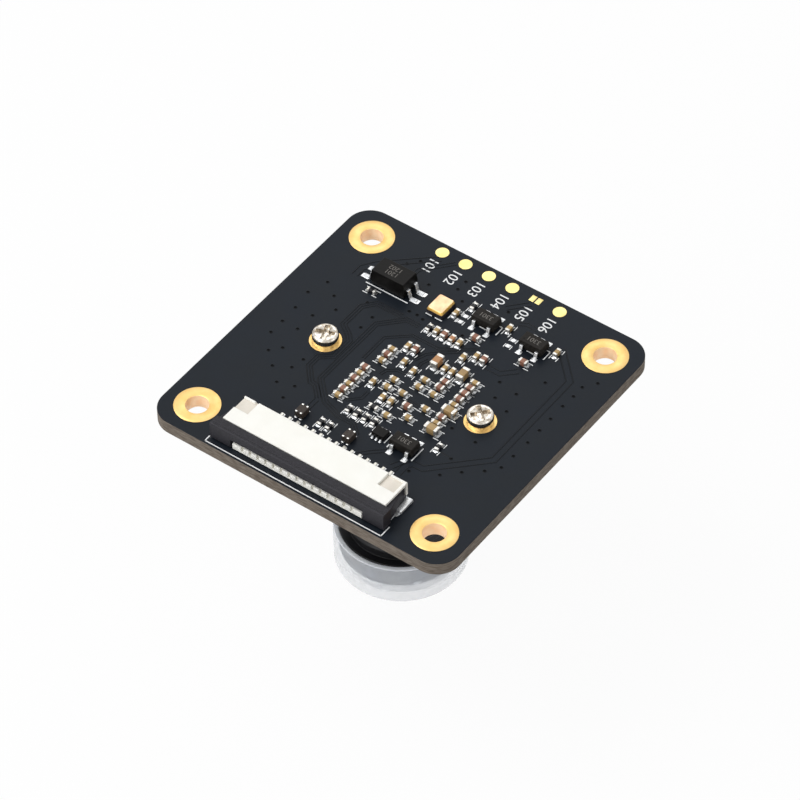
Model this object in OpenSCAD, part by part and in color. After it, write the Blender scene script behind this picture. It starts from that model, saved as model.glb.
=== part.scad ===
// Board camera module with an M12 lens, a ribbon cable connector and a soft lens cap.
// Units are millimetres. The module stands on its lens cap, with its lens looking down.
// The origin is at the middle of the board's outline, at the height of the cap's base.

/* [Board] */
// Side of the square circuit board
board_side = 38; // [37:0.5:40]
// Thickness of the board
board_t = 1.6; // [1:0.1:2]
// Radius of the board's corners
board_corner_r = 2.8; // [2:0.1:3.4]
// Distance from the board's edges to the middle of each mounting hole
hole_inset = 3.8; // [3.5:0.1:4]
// Finished diameter of the mounting holes
hole_d = 2.5; // [2.2:0.1:2.8]
// Outer diameter of the plated ring round each mounting hole
hole_ring_d = 5; // [4.4:0.1:5.4]
// Thickness of the plating in the mounting holes
plating_t = 0.06; // [0.04:0.01:0.1]
// Height of the plated and tinned pads above the board
pad_t = 0.04; // [0.03:0.01:0.06]

/* [Test pads] */
// Diameter of the round test pads
test_pad_d = 1.5; // [1.2:0.1:1.8]
// Spacing of the test pads
test_pad_pitch = 3.06; // [2.8:0.02:3.2]
// Distance from the rear edge to the middle of the test pads
test_pad_inset = 1.3; // [1.1:0.1:1.6]
// Width of each half of the solder jumper
jumper_w = 0.6; // [0.5:0.05:0.8]
// Depth of the solder jumper's halves
jumper_d = 0.9; // [0.7:0.1:1.2]
// Gap between the solder jumper's halves
jumper_gap = 0.16; // [0.1:0.02:0.3]

/* [Holder screws] */
// Distance between the two screws that carry the lens holder
screw_spacing = 20; // [19.6:0.1:20.6]
// Diameter of the screw heads
screw_head_d = 2.9; // [2.6:0.1:3]
// Height of the screw heads
screw_head_h = 1.2; // [0.9:0.1:1.3]
// Diameter of the screw shanks
screw_d = 1.6; // [1.4:0.1:1.7]
// Length of the screws under the head
screw_len = 4; // [3.6:0.1:4.4]
// Clearance hole for the screws through the board
screw_hole_d = 1.9; // [1.8:0.1:2.2]
// Outer diameter of the plated ring under each screw head
screw_pad_d = 3.5; // [3.2:0.1:4]

/* [Ribbon cable connector] */
// Number of contacts
contact_count = 15; // [12:1:16]
// Spacing of the contacts
contact_pitch = 1; // [0.96:0.01:1.02]
// Width of each contact
contact_w = 0.3; // [0.24:0.02:0.4]
// Distance from the board's front edge to the front of the closed latch
connector_setback = 0.9; // [0.6:0.1:1.4]
// Offset of the connector from the middle of the board, to the left
connector_shift = 0.15; // [0:0.05:0.5]
// Depth of the housing behind the latch
housing_depth = 3.85; // [3.7:0.05:4.3]
// Height of the housing above the board
housing_h = 2.35; // [2.2:0.05:2.6]
// Width of the solid ends of the housing, beside the cable slot
housing_end_w = 2.1; // [2:0.05:2.4]
// Height of the lip that the cable slides in over
lip_h = 0.9; // [0.8:0.05:1]
// Height of the cable slot
slot_h = 0.32; // [0.25:0.01:0.35]
// Depth of the latch bar, front to back
latch_depth = 1.3; // [1.1:0.1:1.5]
// How far the latch stands out beyond the housing at each end
latch_wing = 0.75; // [0.6:0.05:0.9]
// How far the latch slides out
latch_travel = 1.2; // [0.8:0.1:1.4]
// Length of the contacts' tails behind the housing
tail_len = 1.85; // [1.6:0.05:2]

/* [Lens] */
// Diameter of the barrel's threaded part
barrel_d = 12; // [11.6:0.1:12.4]
// Length of the barrel's threaded part
barrel_len = 14.8; // [14:0.1:15.2]
// Diameter of the lens head
head_d = 13.6; // [13.2:0.1:14]
// Length of the lens head
head_len = 3.15; // [2.8:0.05:3.5]
// Diameter of the glass elements
glass_d = 9.1; // [8.6:0.1:9.4]
// Length of barrel left bare between the head and the holder
bare_len = 7.9; // [7.4:0.1:8.6]
// Spacing of the ridges of the barrel's thread
thread_pitch = 0.8; // [0.7:0.05:1]
// Depth of the barrel's thread
thread_depth = 0.2; // [0.1:0.05:0.3]
// Offset of the lens axis from the board's middle, left to right
lens_x = -0.3; // [-0.5:0.1:0.5]
// Offset of the lens axis from the board's middle, front to rear
lens_y = -0.2; // [-0.5:0.1:0.5]

/* [Lens holder] */
// Height of the holder below the board
holder_h = 12.3; // [11.9:0.1:13]
// Side of the holder's square base
holder_side = 15; // [14.6:0.1:15.6]
// Height of the holder's square base
holder_base_h = 5; // [4.8:0.1:5.4]
// Wall round the lens thread
holder_wall = 1.4; // [1.2:0.1:1.6]
// Thickness of the two ears that the screws hold
ear_t = 3; // [2.8:0.1:3.4]
// Radius of the ears
ear_r = 2.6; // [2.3:0.1:2.8]
// Side of the sensor chamber
chamber_side = 12.2; // [11.8:0.1:12.6]
// Height of the sensor chamber
chamber_h = 2.5; // [2.3:0.1:2.8]
// Side of the image sensor's package
sensor_side = 10.6; // [10:0.1:11]
// Side of the filter glass
filter_side = 8.6; // [8.2:0.1:9]

/* [Lens cap] */
// Wall of the cap where it grips the lens head
cap_wall = 0.55; // [0.5:0.05:0.8]
// Thickness of the cap's closed end
cap_floor = 0.8; // [0.6:0.1:1]
// Space between the closed end and the front of the lens
cap_space = 1.55; // [1.3:0.05:1.8]
// Length of the lens head that the cap covers
cap_grip = 3.25; // [2.8:0.05:3.6]
// Width of the step inside the cap that stops the lens
cap_step = 0.5; // [0.4:0.05:0.6]
// Radius of the cap's outer edge
cap_edge_r = 0.9; // [0.6:0.1:1.2]

/* [Small parts] */
// Length of a small capacitor or resistor
chip_len = 1; // [0.9:0.02:1.04]
// Width of a small capacitor or resistor
chip_w = 0.5; // [0.4:0.02:0.54]
// Length of the metal ends of the small parts
chip_end = 0.25; // [0.2:0.01:0.3]
// Spacing of the small parts in a column
row_pitch = 0.95; // [0.92:0.01:0.97]
// Length of a large capacitor
large_len = 1.6; // [1.5:0.05:1.7]
// Width of a large capacitor
large_w = 0.8; // [0.7:0.02:0.84]
// Length of a regulator's body
regulator_len = 2.9; // [2.8:0.05:3]
// Width of a regulator's body
regulator_w = 1.6; // [1.5:0.05:1.7]
// Length of the optocoupler's body
coupler_len = 4.4; // [4.2:0.1:4.6]
// Width of the optocoupler's body
coupler_w = 2.6; // [2.4:0.1:2.8]
// Height of the optocoupler's body
coupler_h = 2; // [1.8:0.1:2.2]

/* [Hidden] */
eps = 0.01;
$fn = 64;

// Clearances
slide_fit = 0.05;
glass_fit = 0.02;
screw_fit = 0.02;

// Heights, from the cap's base up
lens_front_z = cap_floor + cap_space;
head_top_z = lens_front_z + head_len;
barrel_top_z = head_top_z + barrel_len;
cap_top_z = lens_front_z + cap_grip;
holder_mouth_z = head_top_z + bare_len;
board_z = holder_mouth_z + holder_h;
top_z = board_z + board_t;
part_z = top_z + pad_t;

// Places on the board. The grid spreads the small parts between the screws and the edges.
hole_pos = board_side / 2 - hole_inset;
screw_pos = screw_spacing / 2;
test_pad_y = board_side / 2 - test_pad_inset;
grid_x = screw_pos / 10;
grid_y = board_side / 38;
corners = [[1, 1], [-1, 1], [-1, -1], [1, -1]];

// Connector, measured from the closed latch's front and the board's top
contact_span = (contact_count - 1) * contact_pitch;
slot_margin = 1.25;
slot_half = contact_span / 2 + slot_margin;
housing_half = slot_half + housing_end_w;
housing_front = latch_depth + slide_fit;
housing_back = housing_front + housing_depth;
tail_end = housing_back + tail_len;
tail_t = 0.18;
back_wall = 1;
groove_floor = 0.3;
tongue_t = 0.35;
tongue_z = lip_h + slot_h;
roof_z = tongue_z + tongue_t + slide_fit;
bar_top = housing_h - 0.05;
leg_bottom = 0.2;
bracket_t = 0.2;
bracket_in = 0.5;
bracket_out = 0.65;
bracket_len = 2.5;
prong_w = 0.2;
prong_h = 0.55;
plate_t = 0.33;
arm_w = 0.85;
arm_flare = 0.6;
arm_in = housing_half - arm_w;
arm_top = housing_h - plate_t - slide_fit;
arm_bottom = pad_t + bracket_t + 2 * slide_fit;
arm_back = housing_back - 0.35;
channel_back = arm_back + slide_fit;
bracket_back = channel_back + prong_w;
right_recess = [1.93, 0.3];
left_recess = [1.37, 0];
tail_pad_len = 1.3;
tail_pad_out = 0.05;

// Catch in each channel. It stands in a notch in the latch's arm that leaves the latch free
// to slide by its travel.
catch_len = 0.4;
catch_reach = 0.15;
notch_wall = 0.45;
notch_back = arm_back - notch_wall;
catch_y = notch_back - slide_fit - latch_travel - catch_len;

// Lens
bore_d = barrel_d + 2 * slide_fit;
glass_r = glass_d / 2;
seat_ring = 0.55;
ring_len = 0.9;
ring_front_z = lens_front_z + 1.15;
front_glass_z = ring_front_z + ring_len;
glass_len = 2.8;
rear_ledge = 1.7;
rear_glass_z = barrel_top_z - rear_ledge - glass_len;
sleeve_z = front_glass_z + glass_len;
notch_angle = -39;
thread_z = head_top_z + 0.8;
thread_turns = floor((barrel_top_z - 0.8 - thread_z) / thread_pitch);

// Holder and sensor
web_t = 0.8;
chamber_floor_z = board_z - chamber_h;
web_z = chamber_floor_z - web_t;
filter_t = 0.4;
filter_ledge = 0.7;
sensor_t = 1.5;
window_t = 0.5;

// Chips: body heights and what stands under them
chip_h = 0.5;
brown_extra = 0.1;
resistor_h = 0.35;
large_h = 0.85;
standoff = 0.08;
regulator_h = 1.1;
regulator_pitch = 0.95;
coupler_pitch = 1.27;
logic_size = [1.6, 1.2, 0.55];
logic_pitch = 0.5;
choke_size = [1, 1.25, 0.8];
choke_pitch = 0.6;
oscillator_size = [2.1, 2.6, 0.55];
lid_inset = 0.14;
lid_h = 0.3;

// Leads of the chips: [width, reach from the body, length of the foot]
lead_t = 0.15;
regulator_lead = [0.38, 0.62, 0.3];
coupler_lead = [0.42, 1.25, 0.8];
logic_lead = [0.2, 0.24, 0.24];
choke_lead = [0.24, 0.03, 0.18];

// Tinned pads: how far they reach past the metal on them, in front and beside it
pad_beyond = 0.22;
pad_beside = 0.02;
lead_pad_beyond = [0.24, 0.28];
short_pad_beyond = [0.07, 0.13];

// Places of the small parts: [x, y, angle], in steps of the grid
tail_row = (connector_setback - board_side / 2 + tail_end) / grid_y;
left_column = [-4.05, -1];
inner_column = [-3.3, 2.8];
right_column = [6.6, 3.85];

tan_places = [
    for (i = [1, 3, 5]) [left_column.x, left_column.y - i * row_pitch, 0],
    for (i = [0, 2]) [inner_column.x, inner_column.y - i * row_pitch, 0],
    for (i = [0, 4]) [right_column.x, right_column.y - i * row_pitch, 0],
    [right_column.x, -3.1, 0], [2.1, 1.2, 0], [2.1, 0.05, 0], [4, 0.05, 0],
    [-0.55, -0.6, 0], [-0.55, -1.85, 0], [1.3, -1.65, 0], [4.55, -2.1, 0],
    [3.8, -4.15, 0], [1.8, -5.15, 0],
    [-2.25, 4.15, 90], [-1.22, 2.05, 90], [0.33, 1.5, 90], [2.8, 3.75, 90],
    [3.7, 3.75, 90], [3.4, 6.15, 90], [4.45, 7.1, 90], [-1.1, 7.65, 90],
    [0.9, 7.65, 90], [1.85, 7.65, 90], [-1, 11, 90], [4.9, 12.4, 90],
    [11, 12.4, 90], [-2.2, -2.15, 90], [-0.05, -3.35, 90], [1, -3.35, 90]
];
brown_places = [
    for (i = [0, 2, 4]) [left_column.x, left_column.y - i * row_pitch, 0],
    [inner_column.x, inner_column.y - row_pitch, 0],
    for (i = [1:3]) [right_column.x, right_column.y - i * row_pitch, 0],
    [right_column.x, -2.15, 0], [4, 2.1, 0], [4, 1.15, 0], [2.8, -2.95, 0],
    [2.8, 9.2, 0], [8.95, 9.2, 0],
    [-1.3, 4.15, 90], [5.4, 7.1, 90], [-0.1, 7.65, 90]
];
large_places = [
    [6.85, -1.1, 0], [6.85, -4.15, 0], [1.65, 3.95, 90], [4.95, 3.95, 90]
];
resistor_places = [
    for (i = [0:3]) [-1.95 + 1.08 * i, -6.65, 90],
    for (x = [-3.2, -2.15]) [x, tail_row + 1.25, 90],
    [8.75, -5.6, 90], [-2.1, 7.65, 90],
    [-0.1, 12.95, 90], [-0.05, -4.95, 0], [-10.3, 8.55, 0]
];
bare_places = [[-0.05, 10.92, 90], [6.1, 10.95, 90]];
regulator_places = [[2.38, 11.75, 0], [8.5, 11.75, 0], [5.9, -7.6, 0]];
choke_places = [for (x = [-5.55, 0.5]) [x, tail_row + 1.12, 0]];
coupler_place = [-8.95, 10.75, 0];
oscillator_place = [-2.8, 10.75, 0];
logic_place = [2.8, -7.55, 0];

// ---- Helpers ----

module at_places(places, z) {
    for (p = places)
        translate([p.x * grid_x, p.y * grid_y, z]) rotate([0, 0, p.z]) children();
}

module at_holes() {
    for (c = corners) translate([c.x * hole_pos, c.y * hole_pos, 0]) children();
}

module at_screws() {
    for (side = [-1, 1]) translate([side * screw_pos, 0, 0]) children();
}

module at_lens() {
    translate([lens_x, lens_y, 0]) children();
}

// Origin on the board's top, in the middle of the contacts, at the closed latch's front.
module at_connector() {
    translate([-connector_shift, connector_setback - board_side / 2, top_z]) children();
}

module block(w, d, h) {
    translate([-w / 2, -d / 2, 0]) cube([w, d, h]);
}

module rounded_outline(w, d, r) {
    square([w - 2 * r, d], center = true);
    square([w, d - 2 * r], center = true);
    for (c = corners) translate([c.x * (w / 2 - r), c.y * (d / 2 - r)]) circle(r);
}

// Plate of a ring-shaped outline
module ring(outer_d, inner_d, h) {
    difference() {
        cylinder(d = outer_d, h = h);
        translate([0, 0, -eps]) cylinder(d = inner_d, h = h + 2 * eps);
    }
}

// Extrudes a front-to-back profile of [y, z] points across the width w.
module across(w, points) {
    translate([-w / 2, 0, 0]) rotate([90, 0, 90]) linear_extrude(w) polygon(points);
}

// Six-sided profile of a moulded body: widest at its parting line.
function moulded(w, h, slope) = [
    [-w / 2 + slope, 0], [w / 2 - slope, 0], [w / 2, h / 2],
    [w / 2 - slope, h], [-w / 2 + slope, h], [-w / 2, h / 2]
];

// Moulded chip body that tapers up and down from its parting line.
module moulded_body(l, w, h, slope) {
    intersection() {
        across(l, moulded(w, h, slope));
        rotate([0, 0, 90]) across(w, moulded(l, h, slope));
    }
}

// Bent lead that leaves a body at y = 0 and rests its foot on a pad at z = 0.
module gull_lead(lead, exit_z) {
    t = lead_t;
    reach = lead[1];
    foot = lead[2];
    knee = (reach - foot) / 2;
    across(lead[0], [
        [0, exit_z - t / 2], [knee - t / 2, exit_z - t / 2], [reach - foot - t / 2, 0],
        [reach, 0], [reach, t], [reach - foot + t / 2, t], [knee + t / 2, exit_z + t / 2],
        [0, exit_z + t / 2]
    ]);
}

module pad(x, y, w, d) {
    translate([x, y, 0]) block(w, d, pad_t);
}

module pad_pair(l, w, end) {
    for (side = [-1, 1])
        pad(side * (l - end + pad_beyond) / 2, 0, end + pad_beyond, w + 2 * pad_beside);
}

// Pad that starts under a lead's foot and reaches past it, in front and in all beside it
module lead_pad(lead, beyond) {
    depth = lead[2] + beyond[1];
    pad(0, lead[1] - lead[2] + depth / 2, lead[0] + beyond[0], depth);
}

module ends(l, w, h, end) {
    for (side = [-1, 1]) translate([side * (l - end) / 2, 0, 0]) block(end, w, h);
}

// ---- Board and its metal ----

module board() {
    color("#30333c") difference() {
        translate([0, 0, board_z])
            linear_extrude(board_t) rounded_outline(board_side, board_side, board_corner_r);
        at_holes() translate([0, 0, board_z - 1])
            cylinder(d = hole_d + 2 * plating_t, h = board_t + 2);
        at_screws() translate([0, 0, board_z - 1])
            cylinder(d = screw_hole_d, h = board_t + 2);
    }
}

// Tube of plating with a ring on each face of the board
module hole_linings() {
    color("#f5d78a") at_holes() translate([0, 0, board_z]) rotate_extrude() polygon([
        [hole_d / 2, -pad_t], [hole_ring_d / 2, -pad_t], [hole_ring_d / 2, 0],
        [hole_d / 2 + plating_t, 0], [hole_d / 2 + plating_t, board_t],
        [hole_ring_d / 2, board_t], [hole_ring_d / 2, board_t + pad_t],
        [hole_d / 2, board_t + pad_t]
    ]);
}

module test_pads() {
    color("#f8e08e") translate([0, test_pad_y, top_z]) {
        for (i = [-2.5, -1.5, -0.5, 0.5, 2.5])
            translate([i * test_pad_pitch, 0, 0]) cylinder(d = test_pad_d, h = pad_t);
        for (side = [-1, 1])
            pad(1.5 * test_pad_pitch + side * (jumper_gap + jumper_w) / 2, 0,
                jumper_w, jumper_d);
    }
}

module screw_pads() {
    color("#f8e08e") at_screws() translate([0, 0, top_z])
        ring(screw_pad_d, screw_hole_d, pad_t);
}

module solder_pads() {
    color("#d9dbdd") {
        at_places(concat(tan_places, brown_places, resistor_places, bare_places), top_z)
            pad_pair(chip_len, chip_w, chip_end);
        at_places(large_places, top_z) pad_pair(large_len, large_w, chip_end + 0.1);
        at_places(regulator_places, top_z) regulator_layout()
            lead_pad(regulator_lead, lead_pad_beyond);
        at_places([coupler_place], top_z) coupler_layout()
            lead_pad(coupler_lead, lead_pad_beyond);
        at_places([logic_place], top_z) logic_layout() lead_pad(logic_lead, short_pad_beyond);
        at_places(choke_places, top_z) choke_layout() lead_pad(choke_lead, short_pad_beyond);
        at_connector() {
            contact_layout() pad(0, tail_end + tail_pad_out - tail_pad_len / 2,
                contact_w + pad_beyond, tail_pad_len);
            for (side = [-1, 1]) pad(side * (housing_half + bracket_out / 2), bracket_back -
                (bracket_len + pad_beyond) / 2, bracket_out + pad_beyond, bracket_len + pad_beyond);
        }
    }
}

// ---- Screws ----

module holder_screws() {
    head_r = screw_head_d / 2;
    dome_r = 0.35;
    tip_len = 0.8;
    recess_turns = [20, 50];
    recess_w = 0.55;
    recess_depth = 0.6;
    color("#c9ccd0") for (i = [0, 1])
        translate([(2 * i - 1) * screw_pos, 0, part_z]) difference() {
        union() {
            rotate_extrude() {
                square([head_r, screw_head_h - dome_r]);
                square([head_r - dome_r, screw_head_h]);
                translate([head_r - dome_r, screw_head_h - dome_r]) intersection() {
                    circle(dome_r, $fn = 32);
                    square(dome_r);
                }
            }
            translate([0, 0, tip_len - screw_len])
                cylinder(d = screw_d, h = screw_len - tip_len + eps);
            translate([0, 0, -screw_len])
                cylinder(d1 = screw_d * 0.3, d2 = screw_d, h = tip_len + eps);
        }
        for (turn = [0, 90]) rotate([0, 0, turn + recess_turns[i]])
            translate([0, 0, screw_head_h - recess_depth]) block(screw_head_d * 0.74, recess_w, 1);
    }
}

// ---- Ribbon cable connector ----

module contact_layout() {
    for (i = [0:contact_count - 1])
        translate([i * contact_pitch - contact_span / 2, 0, 0]) children();
}

module connector_housing() {
    color("#fdfcf7") at_connector() difference() {
        union() {
            across(2 * slot_half, [
                [0.1, 0.12], [0.25, 0], [housing_back, 0], [housing_back, housing_h - 0.1],
                [housing_back - 0.1, housing_h], [housing_front, housing_h],
                [housing_front, roof_z], [housing_back - back_wall, roof_z],
                [housing_back - back_wall, lip_h], [0.25, lip_h], [0.1, lip_h - 0.12]
            ]);
            for (side = [-1, 1]) translate([side * (slot_half + housing_end_w / 2), 0, 0])
                across(housing_end_w, [
                    [housing_front, 0], [housing_back, 0], [housing_back, housing_h - 0.1],
                    [housing_back - 0.1, housing_h], [housing_front, housing_h]
                ]);
        }
        contact_layout() translate([-contact_w / 2 - glass_fit, 0, groove_floor])
            cube([contact_w + 2 * glass_fit, housing_back + 1, lip_h - groove_floor + eps]);
        mirrored_pair() {
            // Channel for the latch's arm, open to the side and under the top plate
            difference() {
                translate([arm_in - slide_fit, housing_front - eps, -eps])
                    cube([arm_w + 1, channel_back - housing_front + eps, arm_top + slide_fit + eps]);
                translate([arm_in - 1, catch_y, -1])
                    cube([1 + catch_reach, catch_len, housing_h + 1]);
            }
            bracket_seat();
        }
        top_recess(right_recess);
        mirror([1, 0, 0]) top_recess(left_recess);
    }
}

module mirrored_pair() {
    for (side = [0, 1]) mirror([side, 0, 0]) children();
}

// Shallow recess with a rim behind it, between two distances from the housing's end. Its
// inner side slopes down to a deeper edge and is open to the rear.
module top_recess(place) {
    x_in = housing_half - place[0];
    x_out = housing_half - place[1] + (place[1] == 0 ? eps : 0);
    front = housing_front + 1.85;
    rim = 0.27;
    slope_w = 0.42;
    depth = 0.2;
    edge_depth = 0.42;
    translate([x_in, front, housing_h - depth])
        cube([x_out - x_in, housing_back - rim - front, depth + eps]);
    translate([0, housing_back + eps, housing_h]) rotate([90, 0, 0])
        linear_extrude(housing_back + eps - front) polygon([
            [x_in - slope_w, -edge_depth], [x_in, -depth], [x_in, eps], [x_in - slope_w, eps]
        ]);
}

// Notch in the housing's rear corner that the bracket's foot and prong fill
module bracket_seat() {
    for (cut = [[bracket_in, pad_t + bracket_t], [prong_w, pad_t + prong_h]])
        translate([housing_half - cut[0], channel_back - eps, -eps])
            cube([cut[0] + 1, housing_back, cut[1] + eps]);
}

// Sliding bar with a tongue into the housing, and at each end a leg and a guide arm. The
// arms are flush with the housing at the rear and flare out to the legs.
module connector_latch() {
    leg_in = slot_half + 0.2;
    leg_w = housing_half + latch_wing - leg_in;
    groove = [0.3, 0.42, 0.08];
    top_edge = [
        [latch_depth, bar_top], [groove[1], bar_top], [groove[1], bar_top - groove[2]],
        [groove[0], bar_top - groove[2]], [groove[0], bar_top], [0.12, bar_top],
        [0, bar_top - 0.12]
    ];
    color("#3c3a40") at_connector() {
        across(2 * leg_in, concat([[0, tongue_z + 0.12], [0.12, tongue_z],
            [latch_depth, tongue_z]], top_edge));
        across(2 * (slot_half - slide_fit), [
            [latch_depth - 0.2, tongue_z], [housing_back - back_wall - slide_fit, tongue_z],
            [housing_back - back_wall - slide_fit, tongue_z + tongue_t],
            [latch_depth - 0.2, tongue_z + tongue_t]
        ]);
        mirrored_pair() {
            translate([leg_in + leg_w / 2, 0, 0]) across(leg_w, concat([
                [0, leg_bottom], [latch_depth, leg_bottom]], top_edge));
            translate([0, 0, arm_bottom]) linear_extrude(arm_top - arm_bottom) polygon([
                [arm_in, latch_depth - eps], [housing_half + arm_flare, latch_depth - eps],
                [housing_half, arm_back - 0.2], [housing_half - 0.2, arm_back],
                [arm_in, arm_back], [arm_in, notch_back],
                [arm_in + catch_reach + slide_fit, notch_back],
                [arm_in + catch_reach + slide_fit, catch_y - slide_fit],
                [arm_in, catch_y - slide_fit]
            ]);
        }
    }
}

module connector_contacts() {
    back = housing_back;
    spring_z = lip_h - 0.12;
    color("#c8c4b4") at_connector() contact_layout() across(contact_w, [
        [0.35, groove_floor], [back + 0.25, groove_floor], [back + 0.45, pad_t],
        [tail_end, pad_t], [tail_end, pad_t + tail_t], [back + 0.62, pad_t + tail_t],
        [back + 0.4, groove_floor + 0.25], [back - back_wall, spring_z],
        [2.4, spring_z], [2, spring_z + 0.2], [1.6, spring_z], [0.35, spring_z]
    ]);
}

// Flat feet that hold the connector down, each with a prong in the housing's rear corner
module connector_brackets() {
    color("#d5d7d8") at_connector() mirrored_pair() {
        translate([housing_half - bracket_in, bracket_back - bracket_len, pad_t])
            cube([bracket_in + bracket_out, bracket_len, bracket_t]);
        translate([housing_half - prong_w, bracket_back - prong_w, pad_t])
            cube([prong_w, prong_w, prong_h]);
    }
}

// ---- Chips ----

// Three leads to the rear and two to the front, with children drawn from the body's side
module regulator_layout() {
    for (i = [-1, 0, 1]) translate([i * regulator_pitch, regulator_w / 2, 0]) children();
    for (i = [-1, 1]) translate([i * regulator_pitch, -regulator_w / 2, 0])
        rotate([0, 0, 180]) children();
}

module regulator_bodies() {
    color("#3a3632") at_places(regulator_places, part_z + standoff)
        moulded_body(regulator_len, regulator_w, regulator_h, 0.06);
}

module regulator_leads() {
    color("#dcdedf") at_places(regulator_places, part_z) regulator_layout()
        gull_lead(regulator_lead, standoff + regulator_h / 2);
}

module coupler_layout() {
    for (turn = [-90, 90], i = [-1, 1]) rotate([0, 0, turn])
        translate([i * coupler_pitch / 2, coupler_len / 2, 0]) children();
}

module optocoupler_body() {
    color("#2e2c2b") at_places([coupler_place], part_z + standoff)
        moulded_body(coupler_len, coupler_w, coupler_h, 0.12);
}

module optocoupler_leads() {
    color("#dcdedf") at_places([coupler_place], part_z) coupler_layout()
        gull_lead(coupler_lead, standoff + coupler_h / 2);
}

module logic_layout() {
    for (turn = [0, 180], i = [-1:1]) rotate([0, 0, turn])
        translate([i * logic_pitch, logic_size.y / 2, 0]) children();
}

module logic_chip_body() {
    color("#252527") at_places([logic_place], part_z)
        moulded_body(logic_size.x, logic_size.y, logic_size.z, 0.04);
}

module logic_chip_leads() {
    color("#dcdedf") at_places([logic_place], part_z) logic_layout()
        translate([0, logic_lead[1] / 2, 0]) block(logic_lead[0], logic_lead[1], lead_t);
}

module oscillator_base() {
    color("#2b2b30") at_places([oscillator_place], top_z)
        linear_extrude(oscillator_size.z)
            rounded_outline(oscillator_size.x, oscillator_size.y, 0.15);
}

module oscillator_lid() {
    color("#e8c884") at_places([oscillator_place], top_z + oscillator_size.z)
        linear_extrude(lid_h) rounded_outline(oscillator_size.x - 2 * lid_inset,
            oscillator_size.y - 2 * lid_inset, 0.25);
}

module choke_layout() {
    for (turn = [0, 180], i = [-1, 1]) rotate([0, 0, turn])
        translate([i * choke_pitch / 2, choke_size.y / 2, 0]) children();
}

module choke_bodies() {
    color("#4a423c") at_places(choke_places, part_z) difference() {
        block(choke_size.x, choke_size.y, choke_size.z);
        choke_layout() translate([0, 0, -eps])
            block(choke_lead[0], 2 * (choke_lead[2] - choke_lead[1]), choke_size.z + 1);
    }
}

module choke_terminals() {
    color("#e6e6e2") at_places(choke_places, part_z) choke_layout()
        translate([0, choke_lead[1] - choke_lead[2] / 2, 0])
            block(choke_lead[0], choke_lead[2], choke_size.z + choke_lead[1]);
}

// ---- Capacitors and resistors ----

module tan_capacitors() {
    color("#b89052") at_places(tan_places, part_z)
        block(chip_len - 2 * chip_end, chip_w, chip_h);
}

module brown_capacitors() {
    color("#7d4a34") at_places(brown_places, part_z)
        block(chip_len - 2 * chip_end, chip_w + brown_extra, chip_h + brown_extra);
}

module large_capacitors() {
    color("#9c8a5a") at_places(large_places, part_z)
        block(large_len - 2 * (chip_end + 0.1), large_w, large_h);
}

module capacitor_ends() {
    color("#e2e2df") {
        at_places(tan_places, part_z) ends(chip_len, chip_w, chip_h, chip_end);
        at_places(brown_places, part_z)
            ends(chip_len, chip_w + brown_extra, chip_h + brown_extra, chip_end);
        at_places(large_places, part_z) ends(large_len, large_w, large_h, chip_end + 0.1);
    }
}

module resistor_bodies() {
    color("#1f1f22") at_places(resistor_places, part_z)
        block(chip_len - 2 * chip_end, chip_w, resistor_h);
}

module resistor_ends() {
    color("#e2e2df") at_places(resistor_places, part_z)
        ends(chip_len, chip_w, resistor_h, chip_end);
}

// ---- Holder and sensor ----

module lens_holder() {
    tower_d = bore_d + 2 * holder_wall;
    base_z = board_z - holder_base_h;
    color("#17171a") difference() {
        union() {
            translate([0, 0, base_z])
                linear_extrude(holder_base_h) rounded_outline(holder_side, holder_side, 1);
            for (side = [-1, 1]) {
                translate([side * screw_pos, 0, board_z - ear_t]) cylinder(r = ear_r, h = ear_t);
                translate([side * (screw_pos + holder_side / 2 - 1) / 2, 0, board_z - ear_t])
                    block(screw_pos - holder_side / 2 + 1, 2 * ear_r, ear_t);
            }
            at_lens() translate([0, 0, holder_mouth_z])
                cylinder(d = tower_d, h = base_z - holder_mouth_z + eps);
        }
        translate([0, 0, chamber_floor_z]) block(chamber_side, chamber_side, 2 * chamber_h);
        at_lens() {
            translate([0, 0, chamber_floor_z - filter_t])
                block(filter_side + 2 * slide_fit, filter_side + 2 * slide_fit, 1);
            translate([0, 0, web_z - 1])
                block(filter_side - 2 * filter_ledge, filter_side - 2 * filter_ledge, web_t + 2);
            translate([0, 0, holder_mouth_z - eps])
                cylinder(d = bore_d, h = web_z - holder_mouth_z + eps);
        }
        at_screws() translate([0, 0, part_z - screw_len - 0.2])
            cylinder(d = screw_d + 2 * screw_fit, h = screw_len);
    }
}

module image_sensor() {
    color("#4a4d55") at_lens() translate([0, 0, board_z - sensor_t])
        block(sensor_side, sensor_side, sensor_t);
}

module sensor_window() {
    color("#8fa5b5") at_lens() translate([0, 0, board_z - sensor_t - window_t])
        block(sensor_side - 1.6, sensor_side - 1.6, window_t);
}

module filter_glass() {
    color("#c98d96") at_lens() translate([0, 0, chamber_floor_z - filter_t])
        block(filter_side, filter_side, filter_t);
}

// ---- Lens ----

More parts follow.
